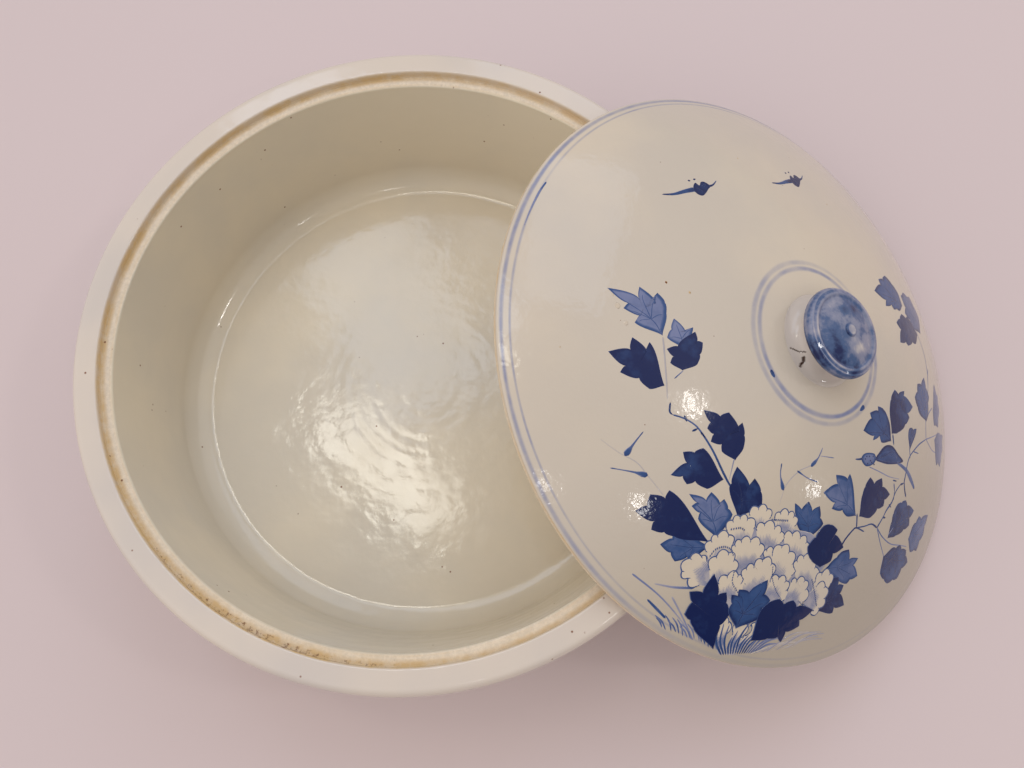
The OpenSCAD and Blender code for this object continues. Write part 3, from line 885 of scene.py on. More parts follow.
# A petal is its base and the cusps between its scallops, from the back of the bloom forwards
PETALS = (
    ((-24, -70), (-28.5, -63.4), (-25.2, -61.2), (-21.6, -61.4), (-19.6, -64)),
    ((-13.5, -70), (-17.8, -64.6), (-15.9, -62.2), (-12.3, -62.2), (-9.6, -63), (-8.2, -66)),
    ((-30, -76), (-36.2, -68.8), (-34.4, -65.8), (-31.8, -64.6), (-28.8, -65), (-25.4, -67.6)),
    ((-18.5, -76), (-24.8, -68.2), (-21.8, -66.4), (-17.2, -67.2), (-14.2, -68.4), (-13.2, -72)),
    ((-6, -79), (-12.8, -70), (-9.2, -69), (-5.2, -69.8), (-1.9, -71.2), (-1, -76)),
    ((-35.5, -81), (-42.2, -76), (-41, -72.6), (-39, -70.9), (-34.9, -70.6), (-32.8, -73.6)),
    ((-25.5, -83.5), (-32.2, -76), (-32, -73.6), (-29.8, -72.2), (-26.1, -71.9), (-22, -72.7),
     (-20.6, -76.6)),
    ((-17.3, -80.5), (-19.4, -77), (-18.9, -74.6), (-16, -74.8)),
    ((-13, -87), (-16.2, -76), (-12.7, -73.2), (-9, -74.9), (-6, -78.6), (-5, -82.5)),
    ((2.5, -89), (-5, -80.5), (-4.8, -77.6), (-2, -76.3), (2.3, -76.9), (4.8, -79.4),
     (6.4, -84.5)),
    ((-37, -84.5), (-41.2, -79), (-43.4, -77.8), (-47.2, -78.6), (-48.9, -82.8), (-46.2, -85),
     (-42.2, -87.4)),
    ((-33.5, -89.5), (-39.6, -81.6), (-37.9, -77.6), (-33.6, -76.4), (-30.9, -78.4),
     (-29.9, -82.6)),
    ((8, -92), (6.4, -84), (9, -81.4), (13.2, -81.4), (15.2, -84.6)),
    ((5, -92.5), (8, -85.6), (12.4, -86), (14, -90), (12.6, -93.6), (9, -95.6)),
    ((-30, -93), (-35, -86), (-32.2, -83.8), (-28, -83.4), (-25.8, -85.6), (-24.7, -88.6)),
    ((-20.5, -92), (-26.4, -84), (-25.6, -81), (-22.7, -80.2), (-19.7, -78.1), (-15.6, -79.1),
     (-14.1, -83)),
    ((-12.5, -92), (-14.6, -84.6), (-11, -83.7), (-7.6, -84.7), (-5.9, -87.6), (-7, -91.5)),
    ((-3.5, -93), (-5, -84.4), (-2.7, -84.5), (1.2, -84.2), (3.1, -87), (3.5, -91.5)),
)
# Rows of dots where stamens show between the petals
DOTTED_ROWS = (
    ((-19, -64.9), (-12.4, -64.8)),
    ((-34.4, -68.8), (-31, -68.2), (-29.5, -68.8)),
    ((-40.2, -77.6), (-38.8, -75.5), (-36, -74.5), (-33.2, -75.2), (-31.8, -77)),
    ((-14.8, -80.4), (-13.8, -84.2), (-11, -88), (-7.6, -91)),
    ((0.6, -91.4), (5, -93), (9.6, -94.4)),
    ((4.6, -84), (7.4, -88), (10.4, -92.6)),
    ((-30, -82.6), (-29.6, -86), (-26, -89.6)),
)
BLOOM_HEART = (-16, -80)
BLOOM_HALF = (25, 14)
# A line that the turning lid drew under a held brush is its radius, how far the lid was off
# centre, half its width, its tone, where round the lid in degrees it is darkest and the share of
# its tone that is left opposite
TURNED_LINES = ((113.5, 0.35, 1, 0.19, 140, 0.3), (111.3, 0.55, 0.55, 0.17, 165, 0.2),
                (30.6, 0, 1.5, 0.14, -90, 0.8), (28, 0, 1.4, 0.21, -90, 0.7))
# The dabs where the brush first touched the turning lid, as strokes
DABS = (
    ((0.6, 0.8, 0.6, 0.4), (0.55, 0.36, 0.26, 0.2), (-97, 52.6), (-99.7, 48), (-103.1, 40.4),
     (-105.7, 33.3)),
    ((1.7, 1.8, 0.9), (0.85, 0.6), (21.8, -21.2), (20.8, -22.2), (19.2, -23.4)),
    ((1.2, 1.5, 0.9), (0.85, 0.6), (-24.2, -14.4), (-23.4, -15.8), (-22.6, -17)),
)
# An iron spot is its place on the lid, its width and its tone
IRON_SPOTS = ((-62, 13, 1.3, 1.5), (-54, 10, 1.2, 1.4), (-78.5, 3, 2.6, 0.22), (-76, -3, 2.2, 0.2),
              (-80, 7, 1.2, 0.2), (-20, 76, 0.9, 1.2), (24, 66, 0.9, 1.2), (-96, -12, 0.9, 0.6))
# A flying bird is its place and its tilt in radians. Its strokes and its wings are about its
# heart, and the tail lies under the wings
FLYING_BIRDS = ((-42, 55, 0), (9, 73, 0.06))
FLYING_TAIL = (
    ((0.5, 1.1, 1.7, 2.2), (0.95, 0.6, 0.7, 0.95), (-16.5, -5.2), (-12, -4.4), (-7, -2.2),
     (-3, -0.6)),
)
FLYING_WINGS = ((-3.6, -1.2), (-3.4, 0.8), (-2.2, 2.6), (-0.8, 1.6), (0.2, 3.4), (1.8, 3.8),
                (3.8, 2.2), (2.6, 0.6), (1.2, -1.4), (-0.6, -3.2), (-2.6, -2.8))
WINGS_HEART = (-0.4, 0.2)
FLYING_STROKES = (
    ((0.5, 0.8, 0.4), (1,), (-2.6, 0.4), (-0.6, -1.2), (0.6, -2)),
    ((0.4, 0.7, 0.4), (1,), (-0.6, 1.4), (0.8, 1.6), (2, 3)),
    ((1.1, 0.6, 0.3), (0.95, 0.6), (3.2, 2), (5.2, 3.2), (7.2, 5.6)),
    ((0.9,), (0.95,), (-5, 3), (-4, 3.4)),
    ((0.9,), (0.95,), (-2.6, 4), (-1.6, 4.6)),
)
# The bird on the branch: belly and tail, folded wing, the quills' rise on it, back, head and beak
PERCHED_BELLY = (
    ((0.4, 0.5, 0.3), (0.3, 0.2), (26, -43), (33, -44), (40, -45), (48, -45)),
    ((1.2, 1.6, 2.4, 1.4), (0.5, 0.45, 0.55), (45, -39), (53, -41), (58, -44), (62, -47)),
)
FOLDED_WING = ((30, -40), (32, -37), (36, -34), (41, -33.5), (46, -36), (50, -38), (45, -39.5),
               (38, -40))
FOLDED_HEART = (39, -38)
QUILL_RISES = (0, 1.3, 2.6, 3.9)
PERCHED_BACK = (((0.7, 0.9, 0.7), (0.9, 0.8), (30, -40), (38, -40.2), (46, -39.2)),)
PERCHED_HEAD = ((21, -41), (22, -39), (25, -38), (29, -38), (30, -40), (28, -42), (24, -43))
HEAD_HEART = (25.5, -40.4)
# How many dark ticks wander along the head
HEAD_TICKS = 9
BEAK = (((1, 0.7, 0.5), (0.8, 0.7), (22, -40.5), (19.5, -41), (17.5, -41.2)),)
# The longest of the grass, as strokes, and the places of the leaf tips in the fan
LONG_BLADES = (
    ((0.6, 0.5), (0.35, 0.16), (-65, -84), (-54, -91), (-44, -99), (-38, -105)),
    ((0.5, 0.8, 1), (0.16, 0.26, 0.5), (-57, -87), (-50, -88), (-43, -88)),
    ((0.7, 0.5), (0.2, 0.3), (-50, -91), (-43, -99), (-38, -105)),
    ((0.6, 0.9, 0.7), (0.7, 0.5, 0.7), (-58, -92), (-54, -95), (-50, -98)),
)
LEAF_TIPS = ((-28, -98), (-21, -98.5), (-16, -99.5))
# How many short blades stand along the rim, how many make the fan, how many of those are dark,
# and how many faint ones lean away from it
RIM_BLADES, FAN_BLADES, DARK_BLADES, FAINT_BLADES = 17, 16, 11, 9
# The shortest and the longest length of the fan's dark and pale blades, and their tones
DARK_LOOK, PALE_LOOK = ((6, 12), (0.85, 0.6, 0.35)), ((9, 15), (0.5, 0.34, 0.2))


def paint_leaves():
    """The leaves that nothing in the bloom hides, and their stems and tendrils."""
    paint = Paint()
    for leaf in LEAVES:
        paint_leaf(paint, *leaf)
    paint.finish("lid_painted_leaves")
    paint = Paint()
    paint.strokes(TENDRILS + STEMS)
    paint.finish("lid_painted_stems")


def paint_bloom():
    """The bloom: leaves behind it, a thin ground wash, its petals from back to front, and the
    leaves in front of it."""
    paint = Paint()
    for leaf in LEAVES_BEHIND:
        paint_leaf(paint, *leaf)
    turn = np.linspace(0, 2 * np.pi, 61)[:-1]
    ground = np.stack([BLOOM_HALF[0] * np.cos(turn), BLOOM_HALF[1] * np.sin(turn)], -1)
    paint.patch(BLOOM_HEART + ground * (1 + 0.05 * np.sin(9 * turn))[:, None], BLOOM_HEART, 0.2)
    for petal in PETALS:
        paint_petal(paint, *petal)
    for row in DOTTED_ROWS:
        for x, y in smooth_curve(row, 0.9):
            paint.stroke([(x, y + 0.3), (x, y - 0.4)], (0.45, 0.35), (0.7, 0.6))
    for leaf in LEAVES_IN_FRONT:
        paint_leaf(paint, *leaf)
    paint.finish("lid_painted_bloom")


def paint_birds():
    """Two small birds in flight and one on the branch, in a few loaded strokes each."""
    paint = Paint()
    for x, y, tilt in FLYING_BIRDS:
        c, s = math.cos(tilt), math.sin(tilt)

        def placed(points):
            return np.array(points, float) @ [[c, s], [-s, c]] + (x, y)

        paint.strokes(FLYING_TAIL, placed)
        wings = smooth_curve(placed(FLYING_WINGS), 0.5, closed=True)
        paint.patch(wings, placed(WINGS_HEART), 0.95, edge=0.1)
        paint.strokes(FLYING_STROKES, placed)
    paint.strokes(PERCHED_BELLY)
    wing = smooth_curve(FOLDED_WING, 0.7, closed=True)
    paint.patch(wing, np.array(FOLDED_HEART), 0.72, edge=0.3)
    for rise in QUILL_RISES:
        quill = [(31.5 + rise, -39.4 + rise / 3), (37 + rise, -36.6 + rise / 4),
                 (45, -38 + rise / 3)]
        paint.stroke(quill, (0.5, 0.8, 0.4), (0.85, 0.75))
    paint.strokes(PERCHED_BACK)
    head = smooth_curve(PERCHED_HEAD, 0.6, closed=True)
    paint.patch(head, np.array(HEAD_HEART), 0.4, edge=0.35)
    paint.strokes(BEAK)
    for k in range(HEAD_TICKS):
        x, y = 23 + 0.8 * k, -40.6 + 1.5 * math.sin(2.4 * k)
        paint.stroke([(x, y), (x + 0.8, y + 0.3)], (0.8, 0.7), (0.9,))
    paint.finish("lid_painted_birds")


def paint_grass():
    """The grass under the bloom: long faint blades, short ones that stand along the rim, leaf
    tips, a fan of blades and faint ones that lean away from it."""
    paint = Paint()
    rng = np.random.default_rng(11)
    paint.strokes(LONG_BLADES)
    for k in range(RIM_BLADES):
        root = np.array((-50 + 1.6 * k, -101 - 0.5 * k)) + rng.uniform(-0.4, 0.4, 2)
        lean = rng.uniform(0.6, 1)
        size = rng.uniform(3.5, 6.5)
        middle, tip = size * np.array(((-0.4 * lean, 0.5), (-lean, 0.9)))
        paint.stroke([root, root + middle, root + tip], (0.35, 0.6, 0.3), rng.uniform(0.3, 0.62, 2))
    for x, y in LEAF_TIPS:
        paint_petal(paint, (-24 + 0.3 * (x + 24), -109), (x - 2.4, y - 4), (x - 1, y),
                    (x + 1.4, y - 0.6), (x + 2, y - 5))
    for k in range(FAN_BLADES):
        sizes, tones = DARK_LOOK if k < DARK_BLADES else PALE_LOOK
        turn = math.radians(118 - 6.5 * k)
        root = np.array((-25 + 0.9 * k, -110 + 0.05 * k))
        way = rng.uniform(*sizes) * np.array((math.cos(turn), math.sin(turn)))
        middle = root + 0.5 * way + 0.12 * np.array((-way[1], way[0]))
        paint.stroke([root, middle, root + way], (0.5, 0.9, 0.35), tones)
    for k in range(FAINT_BLADES):
        root = np.array((-13 + 2.2 * k, -109.5 + 0.25 * k))
        size = rng.uniform(12, 22)
        rise = rng.uniform(0.1, 0.34)
        middle, tip = size * np.array(((0.5, rise), (1, 1.2 * rise)))
        paint.stroke([root, root + middle, root + tip], (0.3, 0.65, 0.35),
                     rng.uniform(0.08, 0.24, 3))
    paint.finish("lid_painted_grass")


def turned_lines(r, angle):
    """How dark the turned lines lie at points of the lid: a flat band with soft edges about each
    line's radius, whose place, width and tone wander as the lid turns."""
    wash = np.zeros_like(r)
    for seed, (line_r, shift, half, tone, darkest, least) in enumerate(TURNED_LINES):
        towards = np.cos(angle - math.radians(darkest))
        line_r = line_r - shift * towards + 0.1 * uneven(angle, seed + 30)
        off = np.abs(r / MM - line_r) / (half * (1 + 0.2 * uneven(angle, seed)))
        tone = tone * (least + (1 - least) * (0.5 + 0.5 * towards))
        tone = tone * (1 + 0.4 * uneven(angle, seed + 20))
        wash = np.maximum(wash, (1 - smooth_step(0.2, 1.15, off)) * tone)
    return wash


def paint_dabs():
    """The dark dabs where the brush first touched the turning lid."""
    paint = Paint()
    paint.strokes(DABS)
    paint.finish("lid_painted_dabs")


def paint_marks():
    """The kiln's marks in the glaze: iron spots and faint stains, each one short stroke."""
    marks = Paint()
    for x, y, wide, tone in IRON_SPOTS:
        path = [(x - 0.3 * wide, y), (x + 0.3 * wide, y + 0.2 * wide)]
        marks.stroke(path, (wide, 0.9 * wide), (tone,), 0.3)
    marks.finish("lid_kiln_marks", stain=True)


# The rings that the thrower's fingers left in the bowl. Their step is their width over two pi.
# The strong ones start round the middle of the floor and fade out between two radii, and faint
# ones run on to a third. Those on the wall have a depth of their own
RING_STEP, FAINT_STEP, WALL_STEP = 0.86 * MM, 1.7 * MM, 1.5 * MM
RINGS_FADE, RINGS_GONE, FAINT_GONE = 44 * MM, 66 * MM, 84 * MM
WALL_RING_DEPTH = 0.02 * MM
# Where round the bowl, in degrees, the stain in the lid seat is strongest, and its greatest
# strength there
STAIN_TURN, STAIN_MOST = 250, 1.1


def throw_rings(s, points, r, angle):
    """Moves the points of the bowl's inside by the throwing rings. On the floor they are a sine
    of the radius whose phase turns once with the angle, so that they make one spiral, and on
    the wall a sine of the height."""
    z = points[:, 2]
    mouth_r = s.rim_r - s.rim_w - s.ledge_w
    floor_z = s.foot_h + s.floor_t
    inside = (z > floor_z - 2 * s.floor_sink) & (z < s.height - s.seat_d - 2 * MM)
    inside &= (r < mouth_r - 0.2 * MM) & (r < mouth_r - s.wall_draft + 0.15 * (z - floor_z))
    strong = 1 - smooth_step(RINGS_FADE, RINGS_GONE, r)
    rings = np.sin(r / RING_STEP - angle) * (0.25 + 0.75 * smooth_step(3 * MM, 12 * MM, r))
    rings *= 0.5 + 0.5 * uneven(angle + r / (9 * MM), 5)
    faint = 0.3 * np.sin(r / FAINT_STEP - angle + 1) * (r < FAINT_GONE)
    points[:, 2] += inside * s.ring_depth * 0.5 * (rings * strong + faint)
    wall = inside & (z > floor_z + s.corner_r * 0.7)
    shift = wall * WALL_RING_DEPTH * np.sin(z / WALL_STEP + angle)
    points[:, :2] *= 1 + (shift / np.maximum(r, MM))[:, None]


def seat_look(s, r, z, angle):
    """Where the bowl is bare clay, and how stained it is. The seat's ledge and the foot's tread
    are bare. The stain fills the seat's corner, wider and darker about one turn of the bowl,
    and lies thinly on the bead at the ledge's inner edge and on the tread."""
    out, up = (r - s.rim_r + s.rim_w) / MM, (z - s.height + s.seat_d) / MM
    ledge = out + s.ledge_w / MM
    wander = 0.35 * uneven(angle, 1)
    on_ledge = (up > -0.35) & (up < 1.1)
    tread = (z < 0.9 * MM) & (r > s.foot_r - s.foot_w - 1 * MM)
    bare = on_ledge * smooth_step(0.1, 0.8, ledge + wander) * (1 - smooth_step(0.3, 1, up + wander))
    about = (0.5 + 0.5 * np.cos(angle - math.radians(STAIN_TURN))) ** 12
    stain = 1 - smooth_step(0.6, 2.4 + 1.5 * about, np.hypot(out, 0.4 * up))
    stain *= 0.75 + 0.5 * about + 0.2 * uneven(angle, 2)
    stain *= 1 - smooth_step(0.1, 0.6, out)
    bead = 1 - smooth_step(0.1, 0.8, np.abs(ledge - 0.9 - wander))
    stain = np.maximum(stain, 0.3 * bead * on_ledge) + 0.4 * tread
    return np.maximum(bare, tread), np.clip(stain, 0, STAIN_MOST)


def make_bowl():
    """The bowl as one turned surface, with throwing rings on its inside. Its glaze is whiter on
    the rim, the outside and the underside than on the inner wall and the floor."""
    s = bpy.context.scene.bowl_sizes
    points, faces = turned(bowl_profile(s), BOWL_TURNS)
    r, z = np.hypot(*points[:, :2].T), points[:, 2]
    angle = np.arctan2(points[:, 1], points[:, 0])
    throw_rings(s, points, r, angle)
    bare, stain = seat_look(s, r, z, angle)
    floor_z, ledge_z = s.foot_h + s.floor_t, s.height - s.seat_d
    draft = s.wall_draft * (ledge_z - z) / (ledge_z - floor_z)
    mid_wall = s.rim_r - s.rim_w - s.ledge_w - draft + s.wall_t / 2
    white = (r > mid_wall) | (z < floor_z - s.floor_t / 2)
    rim = smooth_step(ledge_z - 1 * MM, ledge_z, z)
    piece = add_mesh("bowl_glazed", points, faces, bowl_material(), [True] * 3,
                     {"bare": bare, "stain": stain, "white": white, "rim": rim})
    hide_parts("bowl")
    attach(piece, "bowl")


def make_lid():
    """The lid's dome, hollow and edge as one turned surface. Its tread is bare, with a stained seam
    just above it, and painted shade darkens its glaze towards the low near side."""
    s = bpy.context.scene.lid_sizes
    points, faces = turned(lid_profile(s), LID_TURNS)
    r, z = np.hypot(*points[:, :2].T), points[:, 2]
    angle = np.arctan2(points[:, 1], points[:, 0])
    edge, up = (r - s.lid_r) / MM, z / MM + 0.3 * uneven(angle, 7)
    tread = edge + s.tread_w / MM
    bare = (1 - smooth_step(0.9, 1.5, up)) * smooth_step(-0.6, 0, tread)
    seam = (1 - smooth_step(0.15, 0.9, np.abs(up - 1.5))) * (edge > -2)
    stain = np.clip(seam * (0.7 + 0.3 * uneven(angle, 8)) + 0.3 * bare, 0, 1)
    # Painted shade: a mask that darkens the glaze towards the low near side, which faces away from
    # the light
    painted_shade = smooth_step(5 * MM, 100 * MM, 0.45 * points[:, 0] - 0.9 * points[:, 1])
    wash = turned_lines(r, angle) * (z > s.band_h * 0.8)
    piece = add_mesh("lid_glazed", leaning(points), faces, glaze_of_lid(), [True] * 3,
                     {"wash": wash, "painted_shade": painted_shade, "bare": bare, "stain": stain})
    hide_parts("lid")
    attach(piece, "lid")


# Where the wash on the knob's face lies thicker or thinner: its place and width in millimetres,
# and how much deeper it is there
KNOB_BLOTS = (
    (-9.5, -5.5, 6, 0.24), (-5, -10.5, 5, 0.2), (1, -12.5, 5.5, 0.26), (6.5, 7.5, 6, 0.12),
    (2, -4.6, 5, -0.2), (5.5, -7.4, 5, -0.2), (8.6, -3.4, 5, -0.18), (-6.5, 6.5, 6, -0.14),
)
# How deep the wash is on the knob's face and on the head's side, and where round the knob, in
# degrees, its side is darkest and the glaze ran off its ridges
FACE_WASH, SIDE_WASH, RUN_TURN = 0.49, 0.3, 232
# The crack and the burnt blot in the neck's glaze as lines in millimetres, their half widths and
# their colour
CRACK, CRACK_HALF = ((-15.6, -5.4), (-14.4, -5.7), (-12.5, -6.6), (-10.9, -6.8)), 0.2
BURN, BURN_HALF = ((-10.8, -8.6), (-10.4, -9.9), (-11.4, -11.5)), 0.5
CRACK_COLOUR = (0.24, 0.15, 0.1)


def knob_material():
    """Clear glaze over a wash that a wet brush left mottled, and white on the neck."""
    colours = bpy.context.scene.glaze_colours
    material, tree, shader, place = new_material("knob_skin")
    glaze = tinted_glaze(tree, place, colours.rim_glaze)
    blots = ranged(tree, noise(tree, place, "blots", 5.0, 0.65), 0.34, 0.64, 0.68, 1.25)
    wash = product_of(tree, attribute(tree, "wash"), blots)
    painted = painted_colour(tree, place, glaze, wash, 0.25, colours.knob_wash, colours.knob_brush)
    painted = mixed(tree, attribute(tree, "crack"), painted, linear(CRACK_COLOUR))
    tree.links.new(painted, shader.inputs["Base Color"])
    glaze_skin(tree, shader, place)
    return material


def near_line(xy, path, half):
    """1 within half of a broken line in the plane, and 0 further off."""
    path = np.array(path, float)
    far = np.full(len(xy), np.inf)
    for a, b in zip(path, path[1:]):
        share = np.clip(((xy - a) @ (b - a)) / ((b - a) @ (b - a)), 0, 1)
        far = np.minimum(far, np.hypot(*(xy - a - share[:, None] * (b - a)).T))
    return 1 - smooth_step(0.7 * half, 1.3 * half, far)


def knob_wash(s, points, r, angle):
    """How deep the wash lies on the knob: even on its face but for the blots, thin on its two
    ridges, deeper about the edge of the pip, and none below the head."""
    z = points[:, 2]
    head_z = s.knob_h - s.head_t
    towards = 0.5 + 0.5 * np.cos(angle - math.radians(RUN_TURN))

    def near_ring(out, rise, inner, outer):
        far = np.hypot(r - out * s.knob_r, z - head_z - rise * s.head_t)
        return 1 - smooth_step(inner * MM, outer * MM, far)

    ridge = near_ring(RIDGE_OUT, RIDGE_RISE, 0.2, 0.7)
    shoulder = near_ring(SHOULDER_OUT, SHOULDER_RISE, 0.1, 0.5)
    face = z > head_z + 0.62 * s.head_t
    side = SIDE_WASH + 0.38 * towards ** 2 + 0.1 * np.sin(z / (0.3 * MM) + 2 * angle) * towards
    wash = np.where(face, FACE_WASH, side) - 0.08 * ridge - 0.34 * towards ** 2 * (ridge + shoulder)
    for x, y, wide, deeper in KNOB_BLOTS:
        far = np.hypot(points[:, 0] / MM - x, points[:, 1] / MM - y)
        wash += face * deeper * (1 - smooth_step(0.3 * wide, wide, far + uneven(angle, 14)))
    pip = 1 - smooth_step(0.15 * MM, 0.5 * MM, np.abs(r - s.pip_r * 0.96))
    wash += 0.25 * pip - 0.2 * (r < s.pip_r * 0.7)
    head = smooth_step(head_z - 0.3 * MM, head_z + 0.6 * MM, z + 0.3 * MM * uneven(angle, 9))
    return np.clip(head * wash, 0, 1)


def make_knob():
    """The knob as a turned surface, with a wash on its head, and a crack and a burnt blot in
    the glaze of its neck."""
    s = bpy.context.scene.lid_sizes
    points, faces = turned(knob_profile(s), KNOB_TURNS)
    r, z = np.hypot(*points[:, :2].T), points[:, 2]
    wash = knob_wash(s, points, r, np.arctan2(points[:, 1], points[:, 0]))
    xy = points[:, :2] / MM
    crack = np.maximum(near_line(xy, CRACK, CRACK_HALF), near_line(xy, BURN, BURN_HALF))
    crack *= z < s.knob_h - s.head_t - 1.5 * MM
    points[:, 2] += crown_z(s.knob_base_r)
    piece = add_mesh("knob_glazed", leaning(points), faces, knob_material(), [True] * 3,
                     {"wash": wash, "crack": crack})
    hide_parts("lid_knob")
    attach(piece, "lid")


# The camera's place, its yaw, pitch and roll in degrees, its lens and sensor in millimetres and
# the nearest and furthest distance that it sees
CAMERA_PLACE = (45.4 * MM, -98.9 * MM, 377.8 * MM)
CAMERA_TURNS = (-4.27, -74.34, 3.50)
CAMERA_LENS, CAMERA_SENSOR = 29.5, 36.0
CAMERA_REACH = (0.01, 50.0)


def place_in_scene(name, data, right, up, back, place):
    """A new object for a camera or a lamp, from the ways that its own axes point and its place."""
    made = bpy.data.objects.new(name, data)
    turn = np.eye(4)
    turn[:3] = np.column_stack([right, up, back, place])
    made.matrix_world = Matrix(turn.tolist())
    bpy.context.scene.collection.objects.link(made)
    return made


def make_camera():
    """The camera that took the photograph."""
    yaw, pitch, roll = np.radians(CAMERA_TURNS)
    ahead = np.array([np.sin(yaw) * np.cos(pitch), np.cos(yaw) * np.cos(pitch), np.sin(pitch)])
    right = np.array([np.cos(yaw), -np.sin(yaw), 0.0])
    down = np.cross(ahead, right)
    right, down = (np.cos(roll) * right + np.sin(roll) * down,
                   np.cos(roll) * down - np.sin(roll) * right)
    data = bpy.data.cameras.new("camera")
    data.lens, data.sensor_width = CAMERA_LENS, CAMERA_SENSOR
    data.clip_start, data.clip_end = CAMERA_REACH
    camera = place_in_scene("camera", data, right, -down, -ahead, CAMERA_PLACE)
    bpy.context.scene.camera = camera


# A lamp is its turn from +X and its height as angles in degrees, its distance, its width and
# depth in metres, its brightness, where 1 is a white wall's, and its tint
LAMPS = {
    "lamp_over_left": (138, 75, 1.97, (0.13, 0.34), 9.0, (1, 0.97, 0.86)),
    "lamp_right": (-2, 52, 2.0, (0.15, 0.15), 33.0, (1, 0.97, 0.92)),
    "lamp_near": (-89, 66, 2.0, (0.085, 0.085), 24.0, (1, 0.98, 0.95)),
    "lamp_near_right": (-48, 52, 2.0, (0.1, 0.1), 24.0, (1, 0.98, 0.95)),
    "lamp_low": (-14, 14, 1.6, (0.075, 0.075), 16.0, (1, 1, 1)),
    "window": (80, 45, 2.4, (0.9, 1.98), 0.95, (0.72, 0.94, 1.3)),
    "skylight": (118, 61, 2.0, (0.3, 0.9), 2.2, (0.8, 0.95, 1.18)),
}
# The point that the lamps look at
LAMP_TARGET = (0.05, 0, 0.05)
# The sky's broad bright sides: azimuth and elevation in degrees, and how much brighter. Each
# ends where the cosine of the angle to its middle is SIDE_EDGE
BRIGHT_SIDES = ((90, 90, 0.26), (0, 30, 0.34), (60, 30, 0.5), (180, 30, 0.82), (240, 30, 0.4))
SIDE_EDGE = 0.4
# Half the table's width in metres, and how bright the camera sees the sky beyond it
TABLE_HALF, BEYOND_TABLE = 4.0, 0.9


def way_to(azimuth, elevation):
    """Unit vector to a place in the sky."""
    azimuth, elevation = math.radians(azimuth), math.radians(elevation)
    flat = math.cos(elevation)
    return (flat * math.cos(azimuth), flat * math.sin(azimuth), math.sin(elevation))


def add_lamp(name, azimuth, elevation, distance, sizes, brightness, tint):
    """A soft lamp that looks at the middle of the object, with its depth upwards. A lamp as deep
    as it is wide is round. Its power is pi times its area times its brightness."""
    way = np.array(way_to(azimuth, elevation))
    data = bpy.data.lights.new(name, "AREA")
    area = sizes[0] * sizes[1]
    data.shape = "RECTANGLE"
    if sizes[0] == sizes[1]:
        data.shape = "DISK"
        area *= math.pi / 4
    data.size, data.size_y = sizes
    data.energy, data.color = math.pi * area * brightness, tint
    side = np.cross([0, 0, 1], way)
    side /= np.linalg.norm(side)
    place_in_scene(name, data, side, np.cross(way, side), way, way * distance + LAMP_TARGET)


def make_sky():
    """A pale sky with broad bright sides. The camera sees it as the table."""
    look = bpy.context.scene.stage_look
    world = bpy.data.worlds.new("sky")
    world.use_nodes = True
    tree = world.node_tree
    way = add(tree, "ShaderNodeTexCoord").outputs["Generated"]
    glow = look.sky_strength
    for azimuth, elevation, strength in BRIGHT_SIDES:
        facing = add(tree, "ShaderNodeVectorMath", {0: way, 1: way_to(azimuth, elevation)},
                     operation="DOT_PRODUCT").outputs["Value"]
        glow = sum_of(tree, glow, ranged(tree, facing, SIDE_EDGE, 1.0, 0.0, strength))
    light = tree.nodes["Background"]
    light.inputs["Color"].default_value = linear(look.sky)
    tree.links.new(glow, light.inputs["Strength"])
    seen = add(tree, "ShaderNodeBackground", {"Color": linear(look.table),
                                              "Strength": BEYOND_TABLE})
    ray = add(tree, "ShaderNodeLightPath")
    blend = add(tree, "ShaderNodeMixShader", {"Fac": ray.outputs["Is Camera Ray"]})
    tree.links.new(light.outputs[0], blend.inputs[1])
    tree.links.new(seen.outputs[0], blend.inputs[2])
    tree.links.new(blend.outputs[0], tree.nodes["World Output"].inputs["Surface"])
    bpy.context.scene.world = world


def make_stage():
    """A plain pale table, the lamps and a pale sky."""
    bpy.context.scene.view_settings.view_transform = "Standard"
    look = bpy.context.scene.stage_look
    material, _, shader, _ = new_material("table")
    shader.inputs["Base Color"].default_value = linear(look.table)
    shader.inputs["Roughness"].default_value = look.table_roughness
    corners = TABLE_HALF * np.array([[-1, -1, 0], [1, -1, 0], [1, 1, 0], [-1, 1, 0]])
    table = add_mesh("table", corners, [np.array([[0, 1, 2, 3]])], material, [False], {})
    make_sky()
    for name, lamp in LAMPS.items():
        add_lamp(name, *lamp)


class BOWL_OT_camera(bpy.types.Operator):
    """Adds the camera, where the photograph was taken from"""
    bl_idname = "bowl.camera"
    bl_label = "Camera"

    def execute(self, context):
        make_camera()
        return {"FINISHED"}


class BOWL_OT_stage(bpy.types.Operator):
    """Adds the table, the lamps and the sky"""
    bl_idname = "bowl.stage"
    bl_label = "Stage"

    def execute(self, context):
        make_stage()
        return {"FINISHED"}


class BOWL_OT_bowl(bpy.types.Operator):
    """Makes the glazed bowl with its bare lid seat"""
    bl_idname = "bowl.bowl"
    bl_label = "Bowl"

    def execute(self, context):
        make_bowl()
        return {"FINISHED"}


class BOWL_OT_lid(bpy.types.Operator):
    """Makes the domed lid that leans on the bowl"""
    bl_idname = "bowl.lid"
    bl_label = "Lid"

    def execute(self, context):
        make_lid()
        return {"FINISHED"}


class BOWL_OT_knob(bpy.types.Operator):
    """Makes the washed knob on the lid"""
    bl_idname = "bowl.knob"
    bl_label = "Knob"

    def execute(self, context):
        make_knob()
        return {"FINISHED"}


class BOWL_OT_marks(bpy.types.Operator):
    """Adds the iron spots and the stains that the kiln left on the lid"""
    bl_idname = "bowl.marks"
    bl_label = "Marks"

    def execute(self, context):
        paint_marks()
        return {"FINISHED"}


class BOWL_OT_dabs(bpy.types.Operator):
    """Paints the dabs where the turned lines start"""
    bl_idname = "bowl.dabs"
    bl_label = "Dabs"

    def execute(self, context):
        paint_dabs()
        return {"FINISHED"}


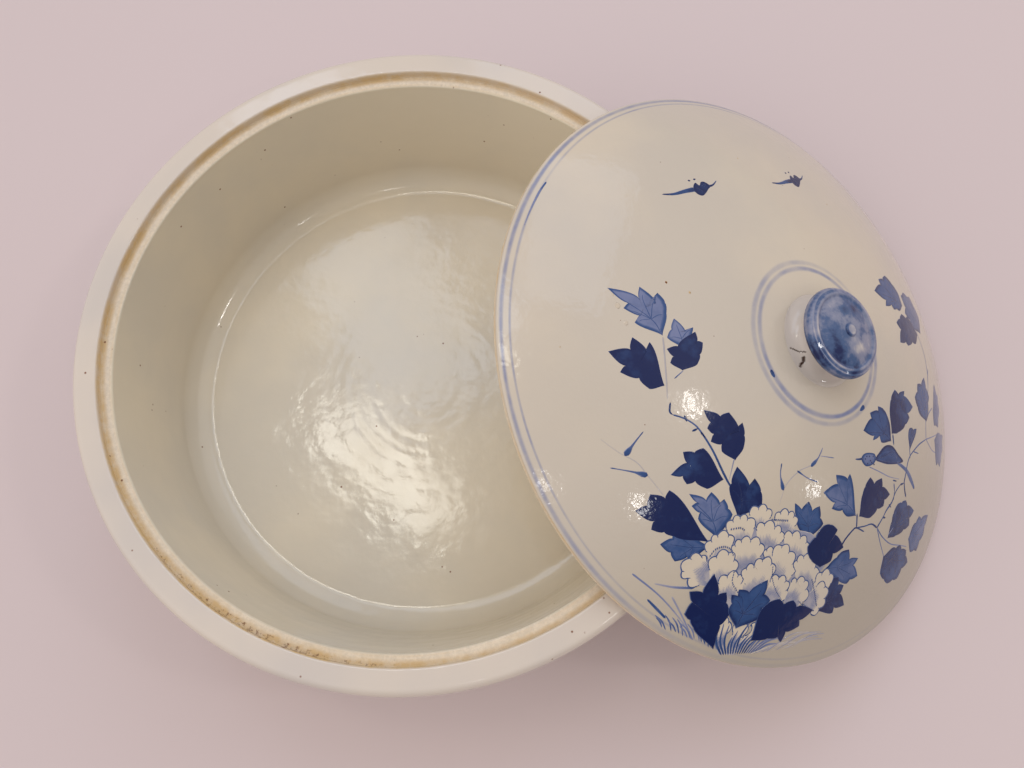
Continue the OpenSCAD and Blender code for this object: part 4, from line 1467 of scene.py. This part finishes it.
class BOWL_OT_grass(bpy.types.Operator):
    """Paints the grass along the lid's edge"""
    bl_idname = "bowl.grass"
    bl_label = "Grass"

    def execute(self, context):
        paint_grass()
        return {"FINISHED"}


class BOWL_OT_bloom(bpy.types.Operator):
    """Paints the peony and the leaves about it"""
    bl_idname = "bowl.bloom"
    bl_label = "Bloom"

    def execute(self, context):
        paint_bloom()
        return {"FINISHED"}


class BOWL_OT_leaves(bpy.types.Operator):
    """Paints the leaves, stems and tendrils"""
    bl_idname = "bowl.leaves"
    bl_label = "Leaves"

    def execute(self, context):
        paint_leaves()
        return {"FINISHED"}


class BOWL_OT_birds(bpy.types.Operator):
    """Paints the three birds"""
    bl_idname = "bowl.birds"
    bl_label = "Birds"

    def execute(self, context):
        paint_birds()
        return {"FINISHED"}


OPERATORS = (BOWL_OT_camera, BOWL_OT_stage, BOWL_OT_bowl, BOWL_OT_lid, BOWL_OT_knob,
             BOWL_OT_marks, BOWL_OT_dabs, BOWL_OT_grass, BOWL_OT_bloom, BOWL_OT_leaves,
             BOWL_OT_birds)
GROUPS = {"bowl_sizes": BowlSizes, "lid_sizes": LidSizes, "glaze_colours": GlazeColours,
          "stage_look": StageLook}


class BOWL_PT_panel(bpy.types.Panel):
    """Lists the pieces of the bowl and the sizes and colours that they take."""
    bl_idname = "BOWL_PT_panel"
    bl_label = "Serving bowl"
    bl_space_type = "VIEW_3D"
    bl_region_type = "UI"
    bl_category = "Serving bowl"

    def draw(self, context):
        for made in OPERATORS:
            self.layout.operator(made.bl_idname)
        for group, kind in GROUPS.items():
            box = self.layout.box()
            for name in kind.__annotations__:
                box.prop(getattr(context.scene, group), name)


def register():
    for group, kind in GROUPS.items():
        bpy.utils.register_class(kind)
        setattr(bpy.types.Scene, group, PointerProperty(type=kind))
    for made in (*OPERATORS, BOWL_PT_panel):
        bpy.utils.register_class(made)


def unregister():
    for made in (BOWL_PT_panel, *reversed(OPERATORS)):
        bpy.utils.unregister_class(made)
    for group, kind in GROUPS.items():
        delattr(bpy.types.Scene, group)
        bpy.utils.unregister_class(kind)


def main():
    """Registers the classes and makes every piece."""
    register()
    for made in OPERATORS:
        getattr(bpy.ops.bowl, made.bl_idname.split(".")[1])()


if __name__ == "__main__":
    main()
